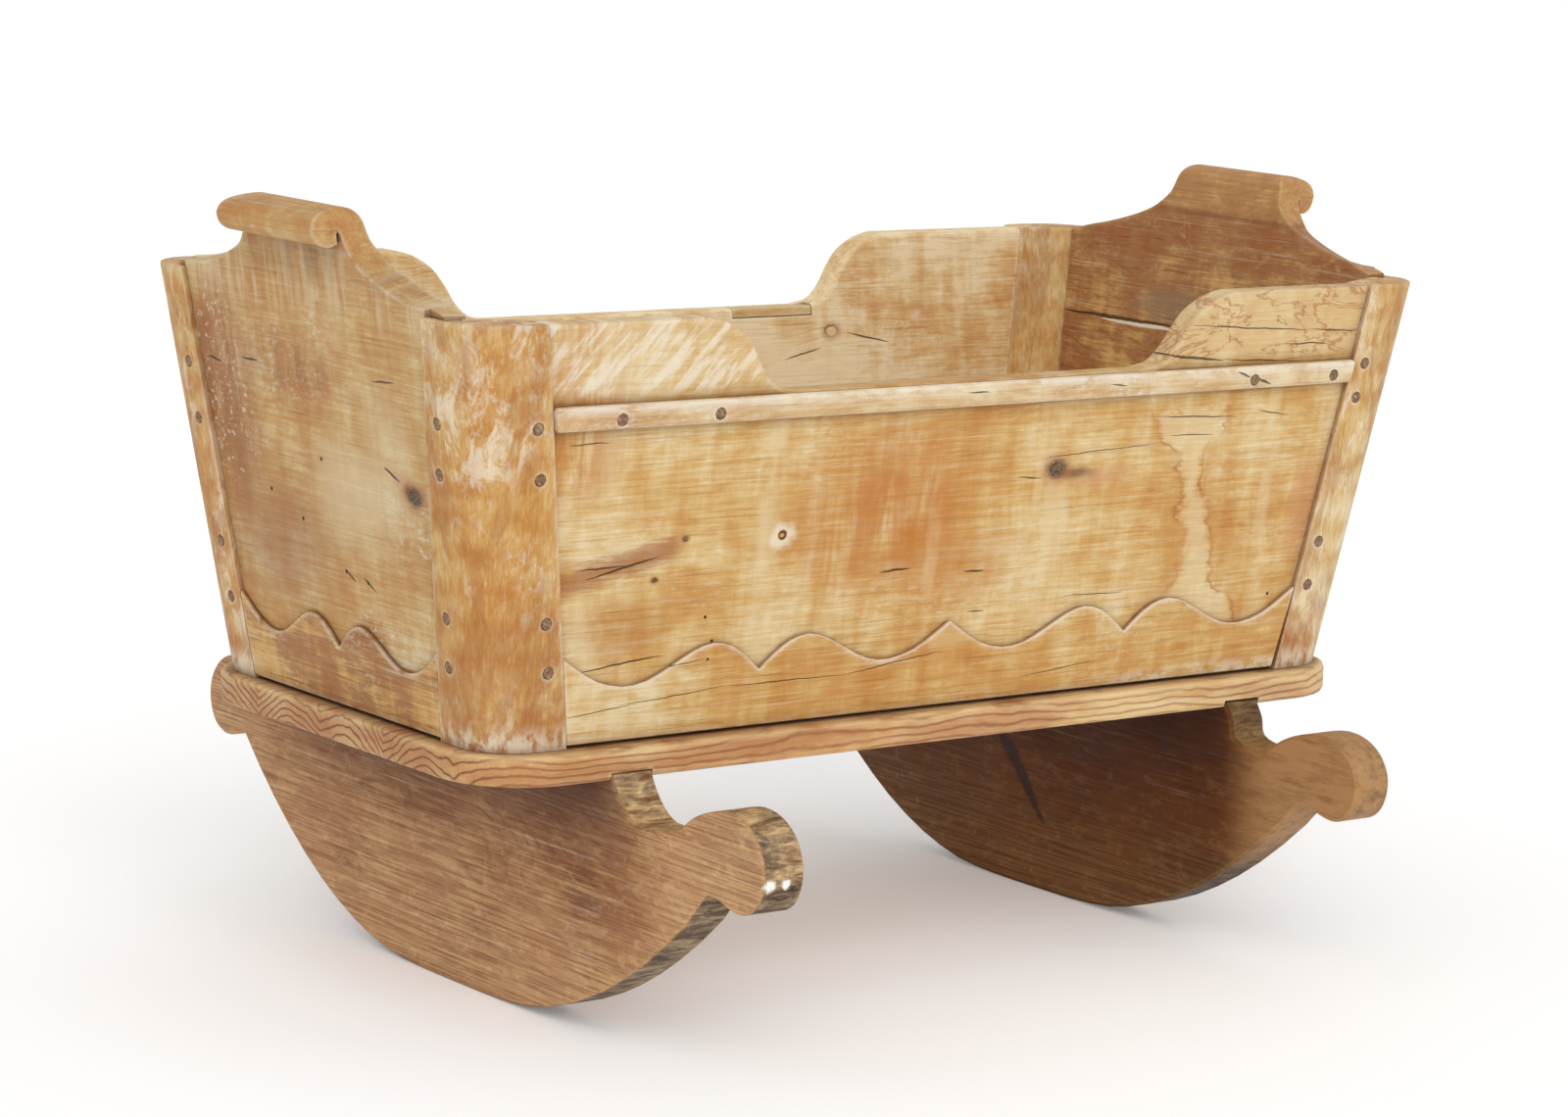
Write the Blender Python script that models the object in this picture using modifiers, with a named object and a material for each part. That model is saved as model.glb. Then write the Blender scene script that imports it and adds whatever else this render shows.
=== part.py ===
"""Farmhouse rocking cradle: a splayed box of wide boards let into four corner posts,
standing on a base board that is housed over two cross rockers.

Metres, +Z up. X runs along the cradle (head at +X, foot at -X), Y across it, and the
floor is Z = 0. The origin is on the floor under the middle of the whole cradle.
"""
import math

import bmesh
import bpy
from mathutils import Matrix, Vector

# ---- fits ---------------------------------------------------------------------------
GAP = 0.0003                # clearance between touching pieces

# ---- base board ---------------------------------------------------------------------
BASE_BOTTOM = 0.187
BASE_TOP = 0.209
BASE_HALF_LENGTH = 0.405
BASE_HALF_WIDTH = 0.201
BASE_CORNER = 0.064         # plan radius of the corners
BASE_EDGE = 0.0035          # rounding of the edges
DADO_DEPTH = 0.0055         # housing for the rocker tops, open at both long edges

# ---- rockers ------------------------------------------------------------------------
ROCKER_X = 0.284            # distance of each rocker from the middle
ROCKER_THICKNESS = 0.034
ROCKER_OFFSET = {"foot": -0.010, "head": 0.018}   # the sweeps are not quite centred
KNOB_FIT = {                # each knob was sawn by eye: shift along the arm, drop, share of height
    ("foot", "near"): (0.0, 0.0, 1.07),
    ("foot", "far"): (-0.0095, 0.0040, 1.0),
    ("head", "near"): (-0.0020, 0.0025, 0.95),
    ("head", "far"): (0.0, 0.0025, 1.0),
}
KNOB_MIDDLE = 0.154         # height of the knobs' widest point
TREAD_HALF = 0.025          # half length of the flat worn on the sweep
TREAD_RADIUS = 0.70         # easy curve beside the flat
SWEEP_START = 0.0506        # where the tighter curve of the arms would touch the floor
SWEEP_RADIUS = 0.2543
NOTCH = 0.3045              # notch between the sweep and the knob, from the sweep's middle
NECK_HEIGHT = 0.161
ROCKER_EDGE = 0.0025

# ---- splayed box, measured on the outer faces of the posts at the base ----------------
BOX_HALF_LENGTH = 0.3925
BOX_HALF_WIDTH = 0.1863
END_SPLAY = 0.1595          # run per unit of height of the two ends
SIDE_SPLAY = 0.116          # run per unit of height of the two sides
BOARD_FLOOR = 0.0025        # the boards and skirts stop this far above the base

# ---- posts, from the outer corner inwards ---------------------------------------------
POST_TOP = 0.5090
FAR_RISE = 0.0025           # the far side stands a little higher
POST_SIDE = 0.063           # width on the long side
POST_END = 0.061            # width on the end
POST_ROUND = 0.040
POST_INNER_SIDE = 0.066     # where the slanted inner face meets the side board
POST_INNER_END = 0.044      # and the end board
GROOVE_OUT = 0.008
GROOVE_IN = 0.020
TONGUE = 0.024
POST_EDGE = 0.004

# ---- boards ---------------------------------------------------------------------------
SIDE_RECESS = 0.0042        # side boards behind the post faces
END_RECESS = 0.0038
BOARD = 0.022
SIDE_LOW = 0.4525           # height of the dipped middle
SIDE_HIGH = 0.5080          # height of the raised ends
STEP_X = {                  # middle of each ogee step
    "near": {"foot": 0.198, "head": 0.198},
    "far": {"foot": 0.193, "head": 0.184},
}
BOARD_EDGE = 0.003
SHOULDER = 0.5110           # top of the end boards at the posts
HANDLE_HALF = 0.0615        # half width of the rolled handle
FOOT_FAR_HANDLE = 0.0655    # the foot's handle reaches further on its far side
HANDLE_BASE = 0.5458        # underside of the rolls
HANDLE_SHARE = {"foot": 0.90, "head": 1.0}        # height of each roll
SHOULDER_FALL = 0.30            # the shoulders' edges fall outwards, by this per unit of thickness
FALL_REACH = 0.036            # how far out from the inner face the shoulders go on falling
FALL_STEPS = 6
HANDLE_EDGE = 0.0018
ROLL = {"foot": 0.0225, "head": 0.0170}           # how far each roll stands out

# ---- rails, skirts, patch, pegs ---------------------------------------------------------
RAIL_BOTTOM = 0.434
RAIL_TOP = 0.4515
RAIL_PROUD = 0.0042
RAIL_EDGE = 0.003
VALLEY = 0.250              # lowest point of the scalloped edge
SCALLOP = 0.0252            # rise of the scallops
END_VALLEY = 0.2515
END_SCALLOP = 0.023
SKIRT_GAP = 0.0032          # open wedge beside the near skirt at the head
PATCH_X = (0.075, 0.154)
PATCH_DEPTH = 0.012
PATCH_HEIGHT = 0.0075
PEG_RADIUS = 0.0044
PEG_PROUD = 0.0006
PEG_DEPTH = 0.0215
PEG_SIDES = 8
PEG_INSET_SIDE = 0.0125     # peg centres from the edge of the post
PEG_INSET_END = 0.0145
PEG_HEIGHTS = {
    "near_foot": (0.2655, 0.3005, 0.4020, 0.4375),
    "near_head": (0.2750, 0.3090, 0.4215, 0.4480),
    "far_foot": (0.2670, 0.3080, 0.3980, 0.4390),
    "far_head": (0.2670, 0.3050, 0.4050, 0.4420),
}
RAIL_PEG_Z = 0.4410
RAIL_PEGS = {
    "near": (-0.313, -0.231, 0.264, 0.345),
    "far": (0.020, 0.060, 0.2045, 0.260, 0.321),
}

# ---- colours ------------------------------------------------------------------------------
BIRCH = (0.60, 0.37, 0.155)
BIRCH_DARK = (0.45, 0.235, 0.085)
PINE = (0.52, 0.255, 0.095)
ROCKER_BROWN = (0.36, 0.165, 0.07)
PEG_BROWN = (0.20, 0.10, 0.05)

# The origin is under the middle of the whole cradle, so the splayed box sits a little off it.
REACH = 0.3685              # of the knobs, from the middle of the sweep
ROLL_BELLY = 0.5585         # height at which a roll stands out furthest
CENTRE_Y = -(ROCKER_OFFSET["foot"] + ROCKER_OFFSET["head"]) / 2
SIDES = {"near": -1, "far": 1}
ENDS = {"foot": -1, "head": 1}
CORNER = "corner"


def box_x(rise):
    """Distance of the post faces at the ends from the middle, at a height over the base."""
    return BOX_HALF_LENGTH + END_SPLAY * rise


def box_y(rise):
    """Distance of the post faces at the sides from the middle, at a height over the base."""
    return BOX_HALF_WIDTH + SIDE_SPLAY * rise


def roll_height(end, height):
    """Height of a point of the handle, after the share that each handle keeps."""
    above = height - HANDLE_BASE
    return HANDLE_BASE + (HANDLE_SHARE[end] * above if above > 0 else above)


def roll_reach(end):
    """Distance of a handle's outermost point from the middle."""
    return box_x(roll_height(end, ROLL_BELLY) - BASE_TOP) + ROLL[end]


CENTRE_X = (roll_reach("foot") - roll_reach("head")) / 2


def trace(points, steps=4):
    """Smooth closed outline through the points, with a sharp turn at each marked corner."""
    outline = []
    count = len(points)
    for i, point in enumerate(points):
        before = Vector(points[i - 1][:2])
        start = Vector(point[:2])
        end = Vector(points[(i + 1) % count][:2])
        after = Vector(points[(i + 2) % count][:2])
        sharp_start = len(point) > 2
        sharp_end = len(points[(i + 1) % count]) > 2
        outline.append(start)
        if sharp_start and sharp_end:
            continue
        slope_start = (end - start) if sharp_start else (end - before) / 2
        slope_end = (end - start) if sharp_end else (after - start) / 2
        for k in range(1, steps):
            t = k / steps
            outline.append(
                (2 * t**3 - 3 * t**2 + 1) * start
                + (t**3 - 2 * t**2 + t) * slope_start
                + (3 * t**2 - 2 * t**3) * end
                + (t**3 - t**2) * slope_end
            )
    return outline


for leftover in list(bpy.data.objects):
    bpy.data.objects.remove(leftover, do_unlink=True)

cradle = bpy.data.collections.new("baby_cradle")
cutters = bpy.data.collections.new("cradle_cutters")
bpy.context.scene.collection.children.link(cradle)
bpy.context.scene.collection.children.link(cutters)

frame = bpy.data.objects.new("cradle_frame", None)
frame.location = (CENTRE_X, CENTRE_Y, 0)
cradle.objects.link(frame)


def wood(name, colour, roughness):
    material = bpy.data.materials.new(name)
    material.use_nodes = True
    shader = material.node_tree.nodes["Principled BSDF"]
    shader.inputs["Base Color"].default_value = (*colour, 1)
    shader.inputs["Roughness"].default_value = roughness
    shader.inputs["Metallic"].default_value = 0
    material.diffuse_color = (*colour, 1)
    return material


def piece(name, mesh, location, colour, roughness=0.6):
    """One part of the cradle, standing in the frame of the box."""
    mesh.materials.clear()
    mesh.materials.append(wood(name + "_wood", colour, roughness))
    mesh.shade_smooth()
    mesh.set_sharp_from_angle(angle=math.radians(35))
    obj = bpy.data.objects.new(name, mesh)
    obj.parent = frame
    obj.location = location
    cradle.objects.link(obj)
    return obj


def cutter(name, mesh, location=(0, 0, 0)):
    obj = bpy.data.objects.new(name, mesh)
    obj.parent = frame
    obj.location = location
    obj.display_type = 'WIRE'
    obj.hide_render = True
    cutters.objects.link(obj)
    return obj


def slab(name, outline, thickness):
    """Flat board of the outline in XY, its thickness centred on Z = 0."""
    curve = bpy.data.curves.new(name, 'CURVE')
    curve.dimensions = '2D'
    curve.fill_mode = 'BOTH'
    curve.extrude = thickness / 2
    spline = curve.splines.new('POLY')
    spline.points.add(len(outline) - 1)
    for target, (a, b) in zip(spline.points, outline):
        target.co = (a, b, 0, 1)
    spline.use_cyclic_u = True
    holder = bpy.data.objects.new(name, curve)
    bpy.context.scene.collection.objects.link(holder)
    graph = bpy.context.evaluated_depsgraph_get()
    mesh = bpy.data.meshes.new_from_object(holder.evaluated_get(graph))
    bpy.data.objects.remove(holder, do_unlink=True)
    tidy = bmesh.new()
    tidy.from_mesh(mesh)
    bmesh.ops.remove_doubles(tidy, verts=tidy.verts, dist=0.00001)
    bmesh.ops.dissolve_limit(tidy, angle_limit=0.002, verts=tidy.verts, edges=tidy.edges)
    bmesh.ops.recalc_face_normals(tidy, faces=tidy.faces)
    tidy.to_mesh(mesh)
    tidy.free()
    return mesh


# A slab's outline plane is laid out in XY; these stand it up along X or along Y.
UPRIGHT_X = Matrix(((1, 0, 0, 0), (0, 0, -1, 0), (0, 1, 0, 0), (0, 0, 0, 1)))
UPRIGHT_Y = Matrix(((0, 0, 1, 0), (1, 0, 0, 0), (0, 1, 0, 0), (0, 0, 0, 1)))


def lean(mesh, along_x, along_y):
    """Splay a mesh outwards by a run per unit of height."""
    mesh.transform(Matrix(((1, 0, along_x, 0), (0, 1, along_y, 0), (0, 0, 1, 0), (0, 0, 0, 1))))
    return mesh


def blocks(name, boxes, along_x=0.0, along_y=0.0):
    """Separate boxes, each given by two opposite corners, splayed together."""
    tool = bmesh.new()
    for low, high in boxes:
        low, high = Vector(low), Vector(high)
        size = Matrix.Diagonal((*(high - low), 1))
        bmesh.ops.create_cube(tool, size=1, matrix=Matrix.Translation((low + high) / 2) @ size)
    bmesh.ops.recalc_face_normals(tool, faces=tool.faces)
    mesh = bpy.data.meshes.new(name)
    tool.to_mesh(mesh)
    tool.free()
    return lean(mesh, along_x, along_y)


def boolean(obj, tool, operation='DIFFERENCE'):
    modifier = obj.modifiers.new(tool.name, 'BOOLEAN')
    modifier.operation = operation
    modifier.solver = 'EXACT'
    modifier.object = tool


def round_edges(obj, width, segments=2, angle=50):
    modifier = obj.modifiers.new("Rounded edges", 'BEVEL')
    modifier.width = width
    modifier.segments = segments
    modifier.limit_method = 'ANGLE'
    modifier.angle_limit = math.radians(angle)


# ---- base board ------------------------------------------------------------------------------
def rounded_rectangle(half_x, half_y, radius, steps=8):
    outline = []
    for quarter in range(4):
        sx = 1 if quarter in (0, 3) else -1
        sy = 1 if quarter in (0, 1) else -1
        for k in range(steps + 1):
            turn = math.radians(90) * (quarter + k / steps)
            outline.append((sx * (half_x - radius) + radius * math.cos(turn),
                            sy * (half_y - radius) + radius * math.sin(turn)))
    return outline


base_outline = rounded_rectangle(BASE_HALF_LENGTH, BASE_HALF_WIDTH, BASE_CORNER)
base_mesh = slab("base_board", base_outline, BASE_TOP - BASE_BOTTOM)
base_board = piece("base_board", base_mesh, (0, 0, (BASE_TOP + BASE_BOTTOM) / 2), PINE, 0.55)
round_edges(base_board, BASE_EDGE)
half_dado = ROCKER_THICKNESS / 2 + GAP
dado_boxes = [
    ((sign * ROCKER_X - half_dado, -0.3, BASE_BOTTOM - 0.02),
     (sign * ROCKER_X + half_dado, 0.3, BASE_BOTTOM + DADO_DEPTH))
    for sign in ENDS.values()
]
boolean(base_board, cutter("rocker_dados", blocks("rocker_dados", dado_boxes)))


# ---- rockers ---------------------------------------------------------------------------------
def sweep_height(reach):
    """Height of the rocker's underside at a distance from the middle of its sweep."""
    tread = max(reach - TREAD_HALF, 0) ** 2 / (2 * TREAD_RADIUS)
    arm = max(reach - SWEEP_START, 0) ** 2 / (2 * SWEEP_RADIUS)
    return max(tread, arm)


def rocker_half(end, side):
    """Outline of one arm, from the top under the base round the knob to the flat tread."""
    sign = SIDES[side]
    offset = ROCKER_OFFSET[end]
    shift, drop, share = KNOB_FIT[end, side]
    knob = 0.333 + sign * offset
    neck = 0.2415 + 0.4 * (knob - 0.342)
    edge = BASE_HALF_WIDTH - 0.0006
    points = [
        (sign * edge, BASE_BOTTOM + DADO_DEPTH - GAP, CORNER),
        (sign * (edge + 0.0085), 0.1785),
        (sign * (neck - 0.018), 0.1655),
        (sign * neck, NECK_HEIGHT),
    ]
    knob_points = (
        (0.268, 0.1675), (0.285, 0.178), (0.303, 0.1855), (0.324, 0.1897), (0.343, 0.1872),
        (0.3575, 0.1790), (0.3660, 0.1670), (REACH, 0.1540), (0.3650, 0.1400),
        (0.3565, 0.1300), (0.3435, 0.1255), (0.3300, 0.1270), (0.3170, 0.1305),
    )
    for reach, height in knob_points:
        if height > KNOB_MIDDLE:
            height = KNOB_MIDDLE + share * (height - KNOB_MIDDLE)
        points.append((offset + sign * (reach + shift), height - drop))
    points.append((offset + sign * NOTCH, 0.1312 - drop, CORNER))
    sweep = 12
    for k in range(1, sweep + 1):
        reach = NOTCH + (TREAD_HALF - NOTCH) * k / sweep
        points.append((offset + sign * reach, sweep_height(reach), CORNER))
    return points


for end, sign in ENDS.items():
    arms = rocker_half(end, "far") + rocker_half(end, "near")[::-1]
    rocker_mesh = slab("rocker", trace(arms, steps=3), ROCKER_THICKNESS)
    rocker_mesh.transform(UPRIGHT_Y)
    rocker = piece(end + "_rocker", rocker_mesh, (sign * ROCKER_X, 0, 0), ROCKER_BROWN, 0.55)
    round_edges(rocker, ROCKER_EDGE, segments=1)


# ---- corner posts ----------------------------------------------------------------------------
def post_plan():
    """Plan of a post from its outer corner: x runs in along the side, y along the end."""
    plan = [(POST_SIDE, 0)]
    steps = 7
    for k in range(steps + 1):
        turn = math.radians(90) * k / steps
        plan.append((POST_ROUND * (1 - math.sin(turn)), POST_ROUND * (1 - math.cos(turn))))
    side_inner = SIDE_RECESS + BOARD
    end_inner = END_RECESS + BOARD
    plan += [
        (0, POST_END),
        (GROOVE_OUT, POST_END),
        (GROOVE_OUT, POST_END - TONGUE),
        (GROOVE_IN, POST_END - TONGUE),
        (GROOVE_IN, POST_INNER_END),
        (end_inner, POST_INNER_END),
        (POST_INNER_SIDE, side_inner),
        (POST_INNER_SIDE, GROOVE_IN),
        (POST_SIDE - TONGUE, GROOVE_IN),
        (POST_SIDE - TONGUE, GROOVE_OUT),
        (POST_SIDE, GROOVE_OUT),
    ]
    return plan


def soften_top(mesh, width):
    """Take the sharpness off the top end of an upright piece."""
    tool = bmesh.new()
    tool.from_mesh(mesh)
    top = max(vert.co.z for vert in tool.verts)
    rim = [edge for edge in tool.edges if all(vert.co.z > top - 0.0001 for vert in edge.verts)]
    bmesh.ops.bevel(tool, geom=rim, offset=width, segments=2, profile=0.5, affect='EDGES',
                    clamp_overlap=True)
    tool.to_mesh(mesh)
    tool.free()


posts = {}
for side, sy in SIDES.items():
    for end, sx in ENDS.items():
        extra = FAR_RISE if (side, end) == ("far", "head") else 0
        post_height = POST_TOP + extra - BASE_TOP - GAP
        plan = [(-sx * a, -sy * b) for a, b in post_plan()]
        post_mesh = slab("post", plan, post_height)
        post_mesh.transform(Matrix.Translation((0, 0, GAP + post_height / 2)))
        soften_top(post_mesh, POST_EDGE / 2)
        lean(post_mesh, sx * END_SPLAY, sy * SIDE_SPLAY)
        corner = (sx * BOX_HALF_LENGTH, sy * BOX_HALF_WIDTH, BASE_TOP)
        posts[side, end] = piece(f"{side}_{end}_post", post_mesh, corner, BIRCH)


# ---- side boards -----------------------------------------------------------------------------
def side_outline(side):
    """Side board in x and rise: high ends that drop by an ogee to a low middle."""
    extra = FAR_RISE if side == "far" else 0
    low = SIDE_LOW + extra - BASE_TOP
    high = SIDE_HIGH + extra - BASE_TOP
    ends = {}
    for end, sign in ENDS.items():
        tip = TONGUE - POST_SIDE - GAP
        step = STEP_X[side][end]
        ends[end] = [
            (sign * (box_x(BOARD_FLOOR) + tip), BOARD_FLOOR, CORNER),
            (sign * (box_x(high) + tip), high, CORNER),
            (sign * (step + 0.044), high, CORNER),
            (sign * (step + 0.028), high - 0.004),
            (sign * (step + 0.011), high - 0.014),
            (sign * step, high - 0.027),
            (sign * (step - 0.009), high - 0.041),
            (sign * (step - 0.021), low + 0.004),
            (sign * (step - 0.040), low, CORNER),
        ]
    return trace(ends["head"] + ends["foot"][::-1], steps=3)


def rebates(side_like, span, recess, outer, inner, sign):
    """Boxes that thin the two ends of a board down to its tongues.

    Distances are across the board from the post face; sign is the side it stands on.
    """
    boxes = []
    for other in (-1, 1):
        for shoulder, front, back in ((outer, recess - 0.02, GROOVE_OUT + GAP),
                                      (inner, GROOVE_IN - GAP, recess + BOARD + 0.02)):
            along = sorted((other * (span - shoulder - GAP), other * (span + 0.1)))
            across = sorted((-sign * front, -sign * back))
            if side_like:
                boxes.append((other, (along[0], across[0], -0.05), (along[1], across[1], 0.4)))
            else:
                boxes.append((other, (across[0], along[0], -0.05), (across[1], along[1], 0.4)))
    return boxes


def splayed_blocks(name, boxes, side_like, sign):
    """Join the rebate boxes of both ends, each splayed with its own end of the board."""
    tool = bmesh.new()
    for other, low, high in boxes:
        along_x = other * END_SPLAY if side_like else sign * END_SPLAY
        along_y = sign * SIDE_SPLAY if side_like else other * SIDE_SPLAY
        part = blocks(name, [(low, high)], along_x, along_y)
        tool.from_mesh(part)
        bpy.data.meshes.remove(part)
    mesh = bpy.data.meshes.new(name)
    tool.to_mesh(mesh)
    tool.free()
    return mesh


side_boards = {}
for side, sy in SIDES.items():
    board_mesh = slab("side_board", side_outline(side), BOARD)
    board_mesh.transform(UPRIGHT_X)
    board_mesh.transform(Matrix.Translation((0, -sy * (SIDE_RECESS + BOARD / 2), 0)))
    lean(board_mesh, 0, sy * SIDE_SPLAY)
    face = (0, sy * BOX_HALF_WIDTH, BASE_TOP)
    board = piece(f"{side}_side_board", board_mesh, face, BIRCH)
    round_edges(board, BOARD_EDGE)
    cuts = rebates(True, BOX_HALF_LENGTH, SIDE_RECESS, POST_SIDE, POST_INNER_SIDE, sy)
    rebate_mesh = splayed_blocks(f"{side}_side_rebates", cuts, True, sy)
    boolean(board, cutter(f"{side}_side_rebates", rebate_mesh, face))
    side_boards[side] = board

# A later repair: a thin strip let into the inner top edge of the far board.
rise = SIDE_LOW + FAR_RISE - BASE_TOP
inner_y = -(SIDE_RECESS + BOARD)
recess_box = ((PATCH_X[0], inner_y - 0.01, rise - PATCH_HEIGHT),
              (PATCH_X[1], inner_y + PATCH_DEPTH, rise + 0.02))
patch_box = ((PATCH_X[0] + GAP, inner_y, rise - PATCH_HEIGHT + GAP),
             (PATCH_X[1] - GAP, inner_y + PATCH_DEPTH - GAP, rise))
far_face = (0, BOX_HALF_WIDTH, BASE_TOP)
patch_recess = blocks("patch_recess", [recess_box], 0, SIDE_SPLAY)
boolean(side_boards["far"], cutter("patch_recess", patch_recess, far_face))
patch_mesh = blocks("far_edge_patch", [patch_box], 0, SIDE_SPLAY)
patch = piece("far_edge_patch", patch_mesh, far_face, BIRCH)
round_edges(patch, 0.0008, segments=1)


# ---- end boards with rolled handles ------------------------------------------------------------
def handle_half(end, side):
    """Half width of a handle towards one side."""
    return FOOT_FAR_HANDLE if (end, side) == ("foot", "far") else HANDLE_HALF


def end_outline(end):
    """End board in y and rise: hollow shoulders that climb to a narrow handle."""
    shoulder = SHOULDER - BASE_TOP
    tongue_top = SIDE_HIGH - BASE_TOP
    tip = TONGUE - POST_END - GAP
    halves = {}
    for side, sy in SIDES.items():
        handle = handle_half(end, side)
        half = [
            (box_y(BOARD_FLOOR) + tip, BOARD_FLOOR, CORNER),
            (box_y(tongue_top) + tip, tongue_top, CORNER),
            (box_y(tongue_top) - POST_INNER_END - GAP - 0.001, tongue_top, CORNER),
            (box_y(shoulder) - POST_INNER_END - GAP - 0.001, shoulder, CORNER),
            (0.158, 0.5165 - BASE_TOP),
            (0.135, 0.5220 - BASE_TOP),
            (0.115, 0.5275 - BASE_TOP),
            (0.097, 0.5335 - BASE_TOP),
            (0.083, 0.5395 - BASE_TOP),
            (0.073, roll_height(end, 0.5460) - BASE_TOP),
            (handle + 0.0030, roll_height(end, 0.5530) - BASE_TOP),
            (handle, roll_height(end, 0.5610) - BASE_TOP),
            (handle - 0.002, roll_height(end, 0.5685) - BASE_TOP),
            (handle - 0.008, roll_height(end, 0.5745) - BASE_TOP),
            (handle - 0.020, roll_height(end, 0.5790) - BASE_TOP, CORNER),
        ]
        halves[side] = [(sy * point[0], *point[1:]) for point in half]
    return trace(halves["far"] + halves["near"][::-1], steps=2)


def let_shoulders_fall(mesh, sx):
    """Slope the shoulders' edges outwards, fading out at the posts and at the handle."""
    inner_face = END_SPLAY * (SHOULDER - BASE_TOP) - END_RECESS - BOARD
    solid = bmesh.new()
    solid.from_mesh(mesh)
    for step in range(FALL_STEPS + 1):
        out = sx * (inner_face + FALL_REACH * step / FALL_STEPS)
        bmesh.ops.bisect_plane(solid, geom=solid.verts[:] + solid.edges[:] + solid.faces[:],
                               plane_co=(out, 0, 0), plane_no=(1, 0, 0))
    for vert in solid.verts:
        from_post = min(max((0.168 - abs(vert.co.y)) / 0.030, 0), 1)
        from_handle = min(max((0.556 - BASE_TOP - vert.co.z) / 0.014, 0), 1)
        above_floor = vert.co.z > 0.5 * (SHOULDER - BASE_TOP)
        outward = min(max(sx * vert.co.x - inner_face, 0), FALL_REACH)
        vert.co.z -= SHOULDER_FALL * from_post * from_handle * above_floor * outward
    solid.to_mesh(mesh)
    solid.free()


def end_profile(end):
    """Section of an end board, out from the post face: a plank whose top rolls outwards."""
    roll = ROLL[end]

    def outer(height, out=0.0):
        rise = roll_height(end, height) - BASE_TOP
        return (END_SPLAY * rise - END_RECESS + out, rise)

    def inner(height, out=0.0):
        return outer(height, out - BOARD)

    return trace([
        (*inner(BASE_TOP), CORNER),
        (*outer(BASE_TOP), CORNER),
        (*outer(0.5480), CORNER),
        (*outer(0.5560, 0.0004), CORNER),
        outer(0.5575, 0.0016),
        (*outer(0.5560, 0.0028), CORNER),
        (*outer(0.5480, 0.0030), CORNER),
        outer(0.5458, 0.38 * roll),
        outer(0.5466, 0.68 * roll),
        outer(0.5510, 0.92 * roll),
        outer(ROLL_BELLY, roll),
        outer(0.5665, 0.86 * roll),
        outer(0.5720, 0.48 * roll),
        outer(0.5752, -0.0040),
        outer(0.5748, -0.0130),
        inner(0.5705, 0.0040),
        inner(0.5600, 0.0012),
        (*inner(0.5400), CORNER),
    ], steps=3)


end_boards = {}
for end, sx in ENDS.items():
    face = (sx * BOX_HALF_LENGTH, 0, BASE_TOP)
    section = [(sx * out, rise) for out, rise in end_profile(end)]
    board_mesh = slab("end_board", section, 0.5)
    board_mesh.transform(UPRIGHT_X)
    board = piece(f"{end}_board", board_mesh, face, BIRCH if end == "foot" else BIRCH_DARK)

    outline_mesh = slab(f"{end}_outline", end_outline(end), 0.4)
    outline_mesh.transform(UPRIGHT_Y)
    let_shoulders_fall(outline_mesh, sx)
    boolean(board, cutter(f"{end}_outline", outline_mesh, face), 'INTERSECT')

    # The roll keeps one width although the board below it flares out.
    lip_rise = 0.5420 - BASE_TOP
    lip_top = roll_height(end, 0.5590) - BASE_TOP
    lip_out = END_SPLAY * lip_rise - END_RECESS + 0.0038
    lip_boxes = []
    for side, sy in SIDES.items():
        across = sorted((sy * handle_half(end, side), sy * 0.12))
        out = sorted((sx * lip_out, sx * (lip_out + 0.05)))
        lip_boxes.append(((out[0], across[0], lip_rise), (out[1], across[1], lip_top)))
    boolean(board, cutter(f"{end}_lip_ends", blocks(f"{end}_lip_ends", lip_boxes), face))
    round_edges(board, HANDLE_EDGE, segments=1, angle=45)

    cuts = rebates(False, BOX_HALF_WIDTH, END_RECESS, POST_END, POST_INNER_END, sx)
    rebate_mesh = splayed_blocks(f"{end}_end_rebates", cuts, False, sx)
    boolean(board, cutter(f"{end}_end_rebates", rebate_mesh, face))
    end_boards[end] = board


# ---- scalloped skirts --------------------------------------------------------------------------
def scallop(middle, half, valley, height):
    """One cyma pair from tip to tip: a cusp in the middle, a crest and a hollow either side."""
    shape = (
        (0.07, 0.50), (0.15, 0.85), (0.245, 1.00), (0.345, 0.82), (0.45, 0.46),
        (0.57, 0.09), (0.69, 0.00), (0.82, 0.22), (0.925, 0.63),
    )
    left = [(middle - half * a, valley + height * b) for a, b in shape[::-1]]
    right = [(middle + half * a, valley + height * b) for a, b in shape]
    return left + [(middle, valley + 0.10 * height, CORNER)] + right


def skirt_outline(reach, splay, units, valley, height, short=0.0):
    """Skirt from post to post; short trims the foot of its positive end."""
    tip = valley + 0.97 * height
    bottom = reach + splay * BOARD_FLOOR
    top = reach + splay * tip
    half = top / units
    points = [(-bottom, BOARD_FLOOR, CORNER), (-top, tip, CORNER)]
    for unit in range(units):
        points += scallop(-top + half * (2 * unit + 1), half, valley, height)
        points.append((-top + half * (2 * unit + 2), tip, CORNER))
    points.append((bottom - short, BOARD_FLOOR, CORNER))
    return trace(points, steps=2)


for side, sy in SIDES.items():
    thickness = SIDE_RECESS - GAP
    outline = skirt_outline(BOX_HALF_LENGTH - POST_SIDE - GAP, END_SPLAY, 2,
                            VALLEY - BASE_TOP, SCALLOP, SKIRT_GAP if side == "near" else 0.0)
    skirt_mesh = slab("side_skirt", outline, thickness)
    skirt_mesh.transform(UPRIGHT_X)
    skirt_mesh.transform(Matrix.Translation((0, -sy * thickness / 2, 0)))
    lean(skirt_mesh, 0, sy * SIDE_SPLAY)
    skirt = piece(f"{side}_side_skirt", skirt_mesh, (0, sy * BOX_HALF_WIDTH, BASE_TOP), BIRCH)
    round_edges(skirt, 0.0008, segments=1)

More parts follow.
